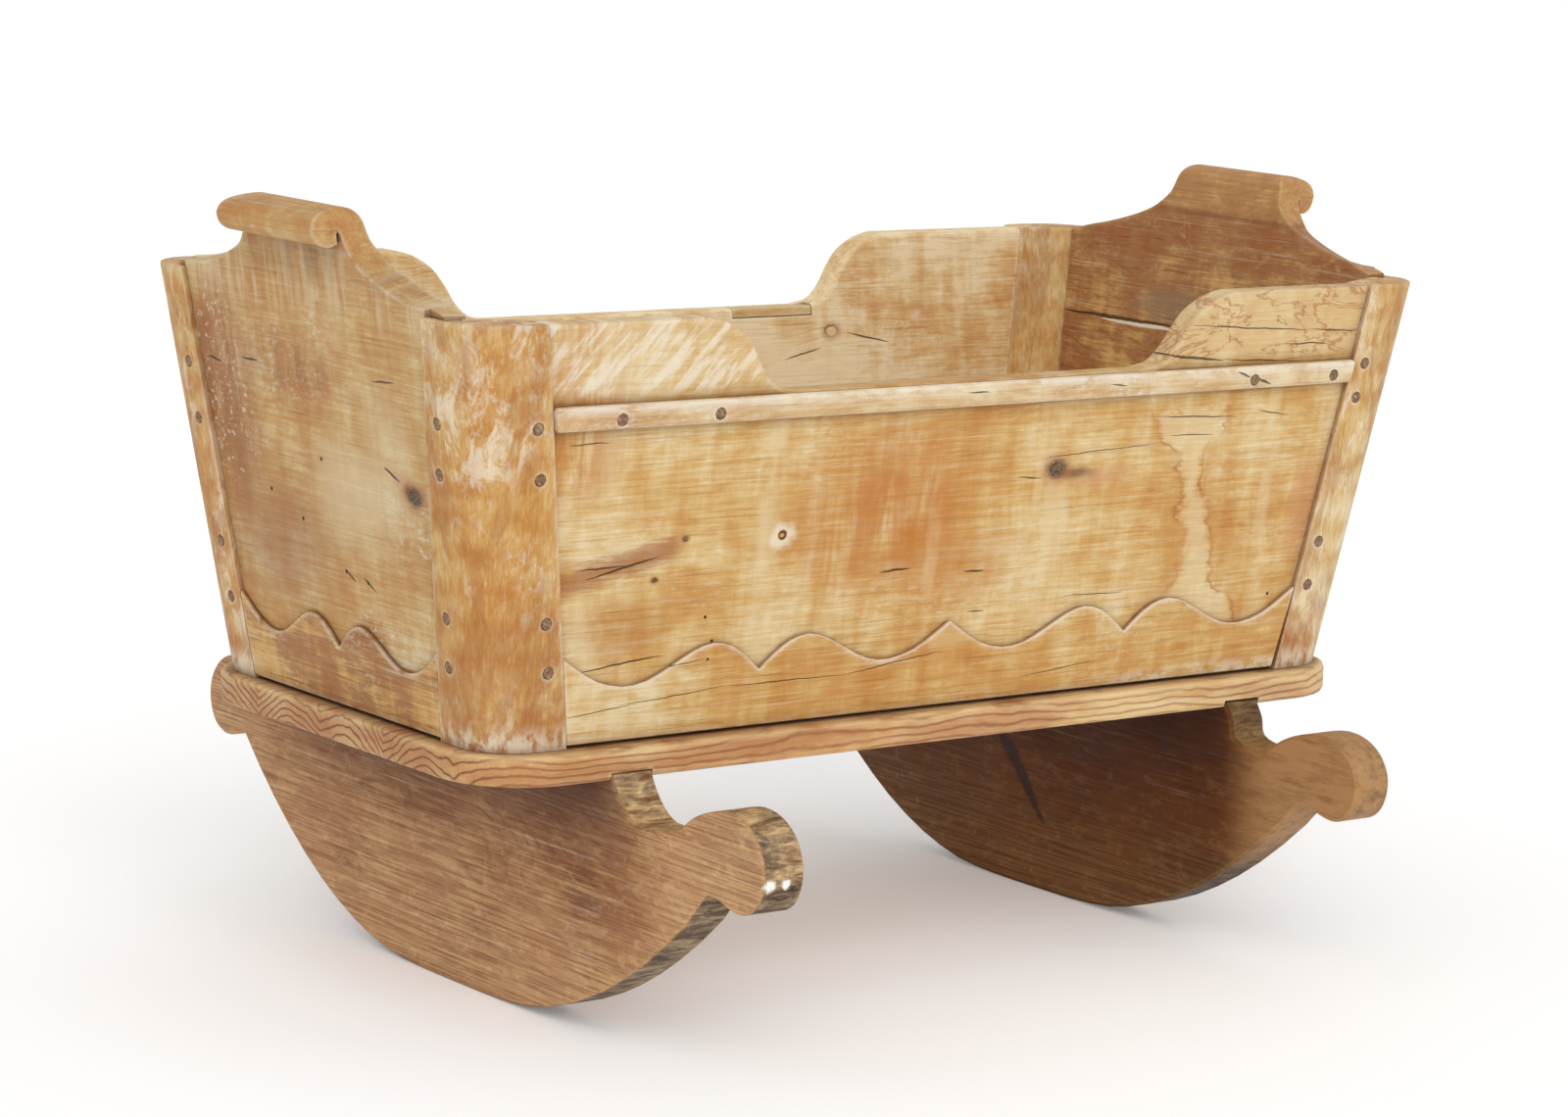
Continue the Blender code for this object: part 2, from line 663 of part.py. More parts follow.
for end, sx in ENDS.items():
    thickness = END_RECESS - GAP
    outline = skirt_outline(BOX_HALF_WIDTH - POST_END - GAP, SIDE_SPLAY, 1,
                            END_VALLEY - BASE_TOP, END_SCALLOP)
    skirt_mesh = slab("end_skirt", outline, thickness)
    skirt_mesh.transform(UPRIGHT_Y)
    skirt_mesh.transform(Matrix.Translation((-sx * thickness / 2, 0, 0)))
    lean(skirt_mesh, sx * END_SPLAY, 0)
    skirt = piece(f"{end}_skirt", skirt_mesh, (sx * BOX_HALF_LENGTH, 0, BASE_TOP), BIRCH)
    round_edges(skirt, 0.0008, segments=1)


# ---- rails -------------------------------------------------------------------------------------
rails = {}
for side, sy in SIDES.items():
    low = RAIL_BOTTOM - BASE_TOP
    high = RAIL_TOP - BASE_TOP
    reach = BOX_HALF_LENGTH - POST_SIDE - GAP
    outline = [(-reach - END_SPLAY * low, low), (reach + END_SPLAY * low, low),
               (reach + END_SPLAY * high, high), (-reach - END_SPLAY * high, high)]
    thickness = SIDE_RECESS + RAIL_PROUD - GAP
    rail_mesh = slab("rail", outline, thickness)
    rail_mesh.transform(UPRIGHT_X)
    rail_mesh.transform(Matrix.Translation((0, sy * (RAIL_PROUD - thickness / 2), 0)))
    lean(rail_mesh, 0, sy * SIDE_SPLAY)
    rails[side] = piece(f"{side}_rail", rail_mesh, (0, sy * BOX_HALF_WIDTH, BASE_TOP), BIRCH)
    round_edges(rails[side], RAIL_EDGE)


# ---- pegs and their holes ------------------------------------------------------------------------
def peg_frame(point, outward):
    """Matrix that stands a peg on its face: local +Z looks out along the face's normal."""
    turn = Vector(outward).to_track_quat('Z', 'X').to_matrix().to_4x4()
    return Matrix.Translation(point) @ turn


def prism(radius, low, high, matrix):
    """Whittled round of few sides, from low to high along its axis."""
    tool = bmesh.new()
    middle = Matrix.Translation((0, 0, (low + high) / 2))
    bmesh.ops.create_cone(tool, cap_ends=True, segments=PEG_SIDES, radius1=radius,
                          radius2=radius, depth=high - low, matrix=matrix @ middle)
    return tool


def add_pegs(label, places, inner, hosts):
    """Pegs driven from outside to the depth inner, with their holes in every host."""
    holes = bmesh.new()
    for number, (point, outward) in enumerate(places, 1):
        stand = peg_frame(point, outward)
        tool = prism(PEG_RADIUS, -inner, PEG_PROUD, Matrix.Identity(4))
        rim = [edge for edge in tool.edges
               if all(vert.co.z > PEG_PROUD - 0.00001 for vert in edge.verts)]
        bmesh.ops.bevel(tool, geom=rim, offset=0.0007, segments=1, affect='EDGES')
        mesh = bpy.data.meshes.new("peg")
        tool.to_mesh(mesh)
        tool.free()
        peg = piece(f"{label}_peg_{number}", mesh, (0, 0, 0), PEG_BROWN, 0.7)
        peg.matrix_local = stand
        loose = PEG_RADIUS + GAP / math.cos(math.pi / PEG_SIDES)
        hole = prism(loose, -inner - GAP, 0.006, stand)
        part = bpy.data.meshes.new("hole")
        hole.to_mesh(part)
        hole.free()
        holes.from_mesh(part)
        bpy.data.meshes.remove(part)
    mesh = bpy.data.meshes.new(f"{label}_holes")
    holes.to_mesh(mesh)
    holes.free()
    tool = cutter(f"{label}_holes", mesh)
    for host in hosts:
        boolean(host, tool)


for side, sy in SIDES.items():
    for end, sx in ENDS.items():
        heights = [height - BASE_TOP for height in PEG_HEIGHTS[f"{side}_{end}"]]
        on_side = []
        on_end = []
        for rise in heights:
            x = box_x(rise) - POST_SIDE + PEG_INSET_SIDE
            y = box_y(rise) - POST_END + PEG_INSET_END
            height = BASE_TOP + rise
            on_side.append(((sx * x, sy * box_y(rise), height), (0, sy, -SIDE_SPLAY)))
            on_end.append(((sx * box_x(rise), sy * y, height), (sx, 0, -END_SPLAY)))
        add_pegs(f"{side}_{end}_side", on_side, PEG_DEPTH, (posts[side, end], side_boards[side]))
        add_pegs(f"{side}_{end}_end", on_end, PEG_DEPTH, (posts[side, end], end_boards[end]))

    rise = RAIL_PEG_Z - BASE_TOP
    face_y = box_y(rise) + RAIL_PROUD
    places = [((x, sy * face_y, RAIL_PEG_Z), (0, sy, -SIDE_SPLAY)) for x in RAIL_PEGS[side]]
    through = SIDE_RECESS + BOARD + RAIL_PROUD - 0.0006
    add_pegs(f"{side}_rail", places, through, (rails[side], side_boards[side]))
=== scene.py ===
"""Looks of the old rocking cradle: aged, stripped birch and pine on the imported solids."""
import math

import bpy
from mathutils import Matrix, Vector

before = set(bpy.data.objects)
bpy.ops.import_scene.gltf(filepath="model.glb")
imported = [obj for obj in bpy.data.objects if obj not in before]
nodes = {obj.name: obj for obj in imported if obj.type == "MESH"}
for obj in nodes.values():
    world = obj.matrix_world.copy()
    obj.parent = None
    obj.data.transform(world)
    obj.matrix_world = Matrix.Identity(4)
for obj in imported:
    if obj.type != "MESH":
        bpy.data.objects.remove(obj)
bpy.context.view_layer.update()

SIDES = ("near", "far")
ENDS = ("foot", "head")


# ---- colours of the wood, as seen, in sRGB ---------------------------------------------------
def srgb(red, green, blue):
    """Linear colour of an sRGB triple from 0 to 255."""
    linear = []
    for value in (red, green, blue):
        value /= 255
        linear.append(value / 12.92 if value <= 0.04045 else ((value + 0.055) / 1.055) ** 2.4)
    return (*linear, 1)


PAINT = srgb(240, 238, 232)
CHALK = srgb(236, 226, 204)
CREAM = srgb(226, 205, 162)
STRAW = srgb(213, 180, 122)
GOLD = srgb(203, 158, 92)
AMBER = srgb(190, 131, 63)
RUST = srgb(163, 94, 42)
UMBER = srgb(110, 62, 28)
SOOT = srgb(44, 26, 14)
ASH = srgb(150, 130, 104)
PINK = srgb(204, 150, 112)
ORANGE = srgb(186, 112, 45)
FOX = srgb(158, 94, 46)
PEG = srgb(122, 84, 52)
BRICK = srgb(150, 92, 58)
BROWNED = srgb(168, 120, 72)
ROSE = srgb(232, 204, 178)
BISQUE = srgb(255, 205, 158)
TAN = srgb(220, 180, 132)
# Painted shade for the rockers under the base board.
UNDER_BASE_SHADE = srgb(72, 34, 16)


FULL_TURN = 2 * math.pi
LINE_PACE = 110.0             # growth lines per metre
CORNER_DIRT_AND_SHADE = 0.6                    # how dark the dirt and painted shade in the corners are
EDGE_REACH = 0.006            # how far from an edge the wear goes, in metres
CORNER_REACH = 0.012          # how far from a corner the dirt and painted shade go


# ---- shader building ---------------------------------------------------------------------------
class Wood:
    """One wood material. Each method adds nodes and returns the socket that holds the result."""

    def __init__(self, name, axes):
        self.material = bpy.data.materials.new(name)
        self.material.use_nodes = True
        self.tree = self.material.node_tree
        self.shader = self.tree.nodes["Principled BSDF"]
        place = self.node("ShaderNodeTexCoord").outputs["Object"]
        split = self.node("ShaderNodeSeparateXYZ")
        self.feed(split.inputs[0], place)
        self.world = dict(zip("XYZ", split.outputs))
        # Along the grain, across it on the wide face, and through the thickness.
        self.along, self.across, self.depth = (self.world[axis] for axis in axes)
        self.wander = None

    def node(self, kind, **settings):
        """New shader node with its settings."""
        made = self.tree.nodes.new(kind)
        for key, value in settings.items():
            setattr(made, key, value)
        return made

    def feed(self, target, source):
        """Give an input a link or a fixed value."""
        if isinstance(source, bpy.types.NodeSocket):
            self.tree.links.new(source, target)
        else:
            target.default_value = source

    def calc(self, operation, first, second=0.0, third=0.0, clamp=False):
        """Result of one math node."""
        made = self.node("ShaderNodeMath", operation=operation, use_clamp=clamp)
        for target, source in zip(made.inputs, (first, second, third)):
            self.feed(target, source)
        return made.outputs[0]

    def add(self, first, second):
        return self.calc("ADD", first, second)

    def times(self, first, second, clamp=False):
        return self.calc("MULTIPLY", first, second, clamp=clamp)

    def point(self, scales, offset=(0, 0, 0)):
        """The place on the board, stretched along the grain, across it and through it."""
        made = self.node("ShaderNodeCombineXYZ")
        for target, source, scale, shift in zip(made.inputs, (self.along, self.across, self.depth),
                                                scales, offset):
            self.feed(target, self.calc("MULTIPLY_ADD", source, scale, shift))
        return made.outputs[0]

    def noise(self, scales, detail=3.0, rough=0.55, warp=0.0, offset=(0, 0, 0)):
        """Noise from 0 to 1, in cycles per metre along, across and through the board."""
        return self.noise_at(self.point(scales, offset), detail, rough, warp)

    def noise_at(self, place, detail, rough, warp=0.0):
        """Noise from 0 to 1 at any place."""
        made = self.node("ShaderNodeTexNoise")
        self.feed(made.inputs["Vector"], place)
        made.inputs["Scale"].default_value = 1.0
        made.inputs["Detail"].default_value = detail
        made.inputs["Roughness"].default_value = rough
        made.inputs["Distortion"].default_value = warp
        return made.outputs["Fac"]

    def facing(self, kind="Normal"):
        """Parts of the surface's direction, by axis."""
        split = self.node("ShaderNodeSeparateXYZ")
        self.feed(split.inputs[0], self.node("ShaderNodeNewGeometry").outputs[kind])
        return dict(zip("XYZ", split.outputs))

    def stain(self, colour, mask, share, tone):
        """Tone laid over the colour where the mask is, at most by the share."""
        return self.mix(self.times(mask, share), colour, tone)

    def ease(self, value, low, high, start=0.0, end=1.0):
        """Smooth step from start to end as the value goes from low to high."""
        made = self.node("ShaderNodeMapRange", interpolation_type="SMOOTHSTEP")
        for key, source in (("Value", value), ("From Min", low), ("From Max", high),
                            ("To Min", start), ("To Max", end)):
            self.feed(made.inputs[key], source)
        return made.outputs["Result"]

    def mix(self, share, first, second):
        """Colour between the first and the second."""
        made = self.node("ShaderNodeMix", data_type="RGBA")
        for key, source in ((0, share), (6, first), (7, second)):
            self.feed(made.inputs[key], source)
        return made.outputs[2]

    def ramp(self, value, stops):
        """Colour for a value, from stops of place and colour."""
        made = self.node("ShaderNodeValToRGB")
        self.feed(made.inputs[0], value)
        points = made.color_ramp.elements
        while len(points) < len(stops):
            points.new(0.5)
        for point, (place, colour) in zip(points, stops):
            point.position = place
            point.color = colour
        return made.outputs[0]

    # ---- marks on the board ----
    def spot(self, centre, radii, wobble=0.0, grain=(60, 60, 60), core=0.55):
        """Soft-edged oval mark around a place on the board, 1 inside and 0 outside."""
        u = self.calc("DIVIDE", self.calc("SUBTRACT", self.along, centre[0]), radii[0])
        v = self.calc("DIVIDE", self.calc("SUBTRACT", self.across, centre[1]), radii[1])
        square = self.add(self.times(u, u), self.times(v, v))
        distance = self.calc("SQRT", square)
        if wobble:
            ragged = self.calc("SUBTRACT", self.noise(grain, 4.0), 0.5)
            distance = self.calc("MULTIPLY_ADD", ragged, wobble, distance)
        return self.ease(distance, core, 1.0, 1.0, 0.0)

    def band(self, low, high, soft, line=None, wobble=0.0, grain=None):
        """1 between two places along an axis of the board, fading over a distance outside them."""
        line = self.along if line is None else line
        if wobble:
            ragged = self.calc("SUBTRACT", self.noise(grain, 4.0, 0.6), 0.5)
            line = self.calc("MULTIPLY_ADD", ragged, wobble, line)
        return self.times(self.ease(line, low - soft, low), self.ease(line, high, high + soft, 1, 0))

    def crack(self, start, end, width, wander=0.004):
        """Split between two places, widest in its middle; every crack of a board wanders alike."""
        if self.wander is None:
            self.wander = self.calc("SUBTRACT", self.noise((35.0, 3.0, 3.0), 5.0, 0.6), 0.5)
        run = Vector(end) - Vector(start)
        u = self.calc("SUBTRACT", self.along, start[0])
        v = self.calc("MULTIPLY_ADD", self.wander, wander,
                      self.calc("SUBTRACT", self.across, start[1]))
        dot = self.add(self.times(u, run[0]), self.times(v, run[1]))
        t = self.calc("DIVIDE", dot, run.length_squared, clamp=True)
        du = self.calc("MULTIPLY_ADD", t, -run[0], u)
        dv = self.calc("MULTIPLY_ADD", t, -run[1], v)
        distance = self.calc("SQRT", self.add(self.times(du, du), self.times(dv, dv)))
        taper = self.times(self.times(t, self.calc("SUBTRACT", 1.0, t)), 4 * width)
        taper = self.add(taper, 0.12 * width)
        return self.ease(self.calc("DIVIDE", distance, taper), 0.35, 1.0, 1.0, 0.0)


def join(wood, masks):
    """The strongest of several marks."""
    found = masks[0]
    for mask in masks[1:]:
        found = wood.calc("MAXIMUM", found, mask)
    return found


def aged_wood(name, axes, tones=(CREAM, STRAW, GOLD, AMBER), shift=0.0, seed=0.0,
              drips=0.0, mottle=1.2, lines=0.35, curl=0.0, chalk=0.3, wear=0.5,
              wear_tone=CHALK, richness=(1.00, 0.90), paint=None):
    """Old stripped wood, from its slow colour changes down to its fibres.

    tones go from the palest to the darkest, and shift moves the whole board towards the dark ones.
    drips, mottle, lines, curl, chalk and wear say how strong each layer is. richness is the last
    change of saturation and value. paint is a function that adds a board's own marks: it takes the
    wood, colour and height, and returns colour and height.
    """
    wood = Wood(name, axes)
    offset = (seed, seed * 1.7, seed * 0.6)

    # Slow blotches and drips decide where the old finish stayed and where it was stripped.
    blotch = wood.noise((5.5, 9, 9), 4.0, 0.62, 0.5, offset)
    patches = wood.noise((34, 42, 42), 6.0, 0.62, 0.5, offset)
    level = wood.calc("MULTIPLY_ADD", wood.calc("SUBTRACT", patches, 0.5), 0.5 * mottle,
                      wood.calc("MULTIPLY_ADD", blotch, 1.4, shift - 0.15))
    islands = wood.ease(wood.noise((60, 130, 130), 7.0, 0.66, 0.3, (seed + 2, seed, seed)),
                        0.42, 0.62)
    level = wood.calc("MULTIPLY_ADD", wood.calc("SUBTRACT", islands, 0.5), 0.055 * mottle, level)
    if drips:
        downward = wood.node("ShaderNodeCombineXYZ")
        wood.feed(downward.inputs[0], wood.times(wood.world["X"], 46.0))
        wood.feed(downward.inputs[1], wood.times(wood.world["Y"], 46.0))
        wood.feed(downward.inputs[2], wood.calc("MULTIPLY_ADD", wood.world["Z"], 5.0, seed))
        streak = wood.noise_at(downward.outputs[0], 5.0, 0.62, 0.4)
        level = wood.calc("MULTIPLY_ADD", wood.calc("SUBTRACT", streak, 0.5), drips, level)

    # Growth lines wander along the board, and fibres run between them.
    sway = wood.noise((3.2, 7, 7), 3.0, 0.5, 0.0, offset)
    field = wood.calc("MULTIPLY_ADD", sway, 0.16, wood.across)
    field = wood.calc("MULTIPLY_ADD", wood.depth, 0.15, field)
    ring = wood.calc("SINE", wood.times(field, FULL_TURN * LINE_PACE))
    ring = wood.ease(ring, 0.25, 1.0)
    broken = wood.noise((14, 90, 90), 3.0, 0.6, 0.0, offset)
    ring = wood.times(ring, wood.ease(broken, 0.40, 0.62))
    fibre = wood.noise((17, 430, 430), 5.0, 0.72, 0.0, offset)
    pores = wood.ease(wood.noise((90, 1500, 1500), 2.0, 0.6, 0.0, offset), 0.60, 0.72)
    level = wood.calc("MULTIPLY_ADD", ring, 0.16 * lines, level)
    level = wood.calc("MULTIPLY_ADD", wood.calc("SUBTRACT", fibre, 0.5), 0.90, level)
    if curl:
        # Curly figure: light bands across the grain, bent and broken.
        bend = wood.noise((9, 20, 20), 2.0, 0.5, 0.0, offset)
        wave = wood.calc("SINE", wood.calc("MULTIPLY_ADD", bend, 9.0,
                                           wood.times(wood.along, FULL_TURN * 42)))
        figure = wood.times(wave, wood.ease(patches, 0.35, 0.65))
        level = wood.calc("MULTIPLY_ADD", figure, curl, level)

    pale, light, mid, dark = tones
    colour = wood.ramp(level, ((0.22, pale), (0.44, light), (0.62, mid), (0.92, dark)))
    colour = wood.stain(colour, pores, 0.30, dark)
    hair = wood.ease(wood.noise((11, 640, 640), 4.0, 0.68, 0.0, (seed, 3, seed)), 0.56, 0.68)
    colour = wood.stain(colour, hair, 0.34, UMBER)
    pale_hair = wood.ease(wood.noise((8, 380, 380), 4.0, 0.7, 0.0, (2, seed, seed)), 0.56, 0.70)
    colour = wood.stain(colour, pale_hair, 0.30, CHALK)
    height = wood.calc("MULTIPLY_ADD", fibre, 0.00035,
                       wood.calc("MULTIPLY_ADD", ring, -0.0003, wood.times(patches, 0.0007)))

    # Chalky remains of paint in the low grain.
    if chalk:
        region = wood.ease(wood.noise((7, 11, 11), 3.0, 0.6, 0.3, (seed + 4, seed, seed)),
                           0.50, 0.66)
        grit = wood.ease(wood.noise((130, 230, 230), 6.0, 0.75, 0.0, offset), 0.50, 0.62)
        scraped = wood.times(wood.times(region, grit), chalk)
        colour = wood.mix(scraped, colour, CHALK)
        height = wood.calc("MULTIPLY_ADD", scraped, 0.0003, height)

    if paint:
        colour, height = paint(wood, colour, height)

    # Handling wears the edges pale, and dirt and painted shade darken the corners.
    soft = wood.node("ShaderNodeBevel", samples=4)
    soft.inputs["Radius"].default_value = EDGE_REACH
    sharp = wood.node("ShaderNodeNewGeometry")
    turn = wood.node("ShaderNodeVectorMath", operation="DOT_PRODUCT")
    wood.feed(turn.inputs[0], soft.outputs["Normal"])
    wood.feed(turn.inputs[1], sharp.outputs["Normal"])
    edge = wood.ease(turn.outputs["Value"], 0.985, 0.80)
    rubbed = wood.noise((45, 70, 70), 4.0, 0.65, 0.0, offset)
    edge = wood.times(edge, wood.ease(rubbed, 0.36, 0.58))
    colour = wood.mix(wood.times(edge, wear), colour, wear_tone)
    # Painted shade and dirt in the corners, darker where less light reaches.
    corner = wood.node("ShaderNodeAmbientOcclusion", samples=4)
    corner.inputs["Distance"].default_value = CORNER_REACH
    dirt_and_shade = wood.ease(corner.outputs["AO"], 0.35, 0.92, 1.0, 0.0)
    colour = wood.mix(wood.times(dirt_and_shade, CORNER_DIRT_AND_SHADE), colour, UMBER)

    bump = wood.node("ShaderNodeBump")
    bump.inputs["Strength"].default_value = 0.75
    bump.inputs["Distance"].default_value = 1.0
    wood.feed(bump.inputs["Height"], height)
    wood.feed(wood.shader.inputs["Normal"], bump.outputs["Normal"])
    tuned = wood.node("ShaderNodeHueSaturation")
    tuned.inputs["Saturation"].default_value, tuned.inputs["Value"].default_value = richness
    wood.feed(tuned.inputs["Color"], colour)
    wood.feed(wood.shader.inputs["Base Color"], tuned.outputs[0])
    gloss = wood.ease(patches, 0.3, 0.7, 0.62, 0.46)
    wood.feed(wood.shader.inputs["Roughness"], wood.calc("MULTIPLY_ADD", dirt_and_shade, 0.25, gloss))
    wood.shader.inputs["Specular IOR Level"].default_value = 0.22
    return wood.material


# ---- marks of each board -------------------------------------------------------------------------
def knot(wood, colour, height, centre, radius, tail=None):
    """A dark knot with a split heart, and a reddish tail where its branch ran."""
    x, z = centre
    if tail:
        reach, drop = tail
        glow = wood.spot((x + reach * 0.5, z + drop * 0.5), (abs(reach) * 0.62, radius * 0.95),
                         0.5, (40, 90, 60), 0.1)
        colour = wood.stain(colour, glow, 0.55, PINK)
        branch = wood.spot((x + reach * 0.22, z + drop * 0.25), (abs(reach) * 0.34, radius * 0.55),
                           0.45, (80, 160, 90), 0.15)
        colour = wood.stain(colour, branch, 0.75, UMBER)
    halo = wood.spot(centre, (radius * 1.7, radius * 1.25), 0.5, (120, 120, 120), 0.35)
    colour = wood.stain(colour, halo, 0.55, RUST)
    heart = wood.spot(centre, (radius, radius * 0.75), 0.55, (300, 300, 300), 0.4)
    flecks = wood.ease(wood.noise((520, 520, 520), 3.0, 0.7), 0.40, 0.60)
    colour = wood.mix(wood.times(heart, 0.9), colour, wood.mix(wood.times(flecks, 0.55), SOOT, ASH))
    height = wood.calc("MULTIPLY_ADD", heart, -0.0012, height)
    return colour, height


def holes(wood, colour, height, places, radius=0.0014):
    """Small round insect and nail holes."""
    found = join(wood, [wood.spot(place, (radius, radius), 0.15, (700, 700, 700), 0.6)
                        for place in places])
    return wood.mix(found, colour, SOOT), wood.calc("MULTIPLY_ADD", found, -0.002, height)


def splits(wood, colour, height, runs, tone=SOOT, strength=0.85, depth=0.0012):
    """Drying cracks, each given by its two ends and its width."""
    found = join(wood, [wood.crack(start, end, width) for start, end, width in runs])
    return (wood.mix(wood.times(found, strength), colour, tone),
            wood.calc("MULTIPLY_ADD", found, -depth, height))


def near_panel(wood, colour, height):
    """Outer face of the near side board."""
    # Orange where the finish stayed, left of the middle and in the upper corner at the foot.
    runs = wood.noise((55, 7, 7), 6.0, 0.68, 0.5, (3, 1, 1))
    warm = wood.spot((-0.070, 0.362), (0.120, 0.085), 0.9, (16, 20, 30), 0.15)
    warm = wood.times(warm, wood.ease(runs, 0.38, 0.58, 0.35, 1.0))
    colour = wood.stain(colour, warm, 0.80, ORANGE)
    low = wood.spot((0.000, 0.318), (0.085, 0.040), 0.9, (22, 40, 40), 0.1)
    colour = wood.stain(colour, low, 0.45, ORANGE)
    left = wood.times(wood.ease(wood.along, -0.285, -0.330), wood.ease(wood.across, 0.37, 0.41))
    left = wood.times(left, wood.ease(runs, 0.42, 0.55))
    colour = wood.stain(colour, left, 0.65, ORANGE)
    reddish = wood.spot((0.345, 0.335), (0.030, 0.055), 0.7, (30, 30, 30), 0.2)
    colour = wood.stain(colour, reddish, 0.40, PINK)
    brown = wood.spot((-0.290, 0.290), (0.065, 0.030), 0.8, (30, 60, 60), 0.2)
    colour = wood.stain(colour, brown, 0.35, RUST)

    # A run of water from the rail: a pale column with an orange rim.
    ragged = wood.calc("SUBTRACT", wood.noise((20, 34, 20), 5.0, 0.6, 0.6), 0.5)
    fine = wood.calc("SUBTRACT", wood.noise((110, 150, 90), 6.0, 0.7, 0.8), 0.5)
    line = wood.calc("MULTIPLY_ADD", ragged, 0.040, wood.along)
    line = wood.calc("MULTIPLY_ADD", fine, 0.012, line)
    middle = wood.ease(wood.across, 0.300, 0.415, 0.236, 0.214)
    half = wood.ease(wood.across, 0.385, 0.408, 0.011, 0.036)
    half = wood.add(half, wood.ease(wood.across, 0.355, 0.320, 0.0, 0.006))
    half = wood.add(half, wood.ease(wood.across, 0.290, 0.258, 0.0, 0.034))
    away = wood.calc("ABSOLUTE", wood.calc("SUBTRACT", line, middle))
    inside = wood.calc("SUBTRACT", away, half)
    rim = wood.times(wood.ease(inside, -0.0035, 0.0, 0, 1), wood.ease(inside, 0.0, 0.004, 1, 0))
    capped = wood.ease(wood.calc("MULTIPLY_ADD", fine, 0.03, wood.across), 0.4215, 0.4175)
    inner = wood.times(wood.ease(inside, -0.010, 0.0, 1, 0), capped)
    colour = wood.stain(colour, inner, 0.48, CREAM)
    rim = wood.times(wood.times(rim, capped), wood.ease(ragged, -0.14, 0.08, 0.25, 1.0))
    colour = wood.stain(colour, rim, 0.68, RUST)
    outer = wood.times(wood.ease(inside, 0.0, 0.002), wood.ease(inside, 0.002, 0.028, 1, 0))
    outer = wood.times(outer, wood.ease(runs, 0.36, 0.60, 0.2, 1.0))
    colour = wood.stain(colour, outer, 0.42, AMBER)

    # Pale wiped streaks.
    fade = wood.ease(wood.noise((30, 16, 10), 3.0), 0.35, 0.6)
    for place, width, share in ((-0.170, 0.010, 0.55), (0.090, 0.012, 0.45), (0.072, 0.004, 0.35),
                                (-0.020, 0.006, 0.3), (-0.318, 0.012, 0.3), (0.300, 0.006, 0.35)):
        streak = wood.band(place - width / 2, place + width / 2, width * 0.9,
                           wobble=0.012, grain=(5, 14, 5))
        colour = wood.mix(wood.times(wood.times(streak, fade), share), colour, CREAM)

    # The reddish scar at the foot end.
    slope = wood.calc("MULTIPLY_ADD", wood.calc("ADD", wood.along, 0.292), -0.22,
                      wood.calc("SUBTRACT", wood.across, 0.337))
    frayed = wood.calc("SUBTRACT", wood.noise((30, 260, 60), 6.0, 0.72, 0.3), 0.5)
    scar = wood.ease(wood.calc("MULTIPLY_ADD", frayed, 0.028, wood.calc("ABSOLUTE", slope)),
                     0.002, 0.015, 1.0, 0.0)
    scar = wood.times(scar, wood.band(-0.345, -0.255, 0.020))
    colour = wood.stain(colour, scar, 0.75, FOX)

    # The big knot, a plugged hole in a pale ring, and small knots and holes.
    colour, height = knot(wood, colour, height, (0.089, 0.382), 0.0125, (0.085, -0.016))
    plug = wood.spot((-0.157, 0.349), (0.0150, 0.0130), 1.1, (130, 130, 130), 0.35)
    colour = wood.stain(colour, plug, 0.70, CHALK)
    dowel = wood.spot((-0.157, 0.349), (0.0044, 0.0042), 0.3, (300, 300, 300), 0.7)
    colour = wood.mix(dowel, colour, UMBER)
    colour = wood.mix(wood.spot((-0.1575, 0.3488), (0.0026, 0.0018), 0, core=0.5), colour, GOLD)
    height = wood.calc("MULTIPLY_ADD", dowel, -0.0012, height)
    colour, height = knot(wood, colour, height, (-0.241, 0.352), 0.0034)
    colour, height = knot(wood, colour, height, (-0.264, 0.324), 0.0036)
    colour, height = holes(wood, colour, height, ((-0.217, 0.294), (-0.209, 0.276), (0.318, 0.270)))

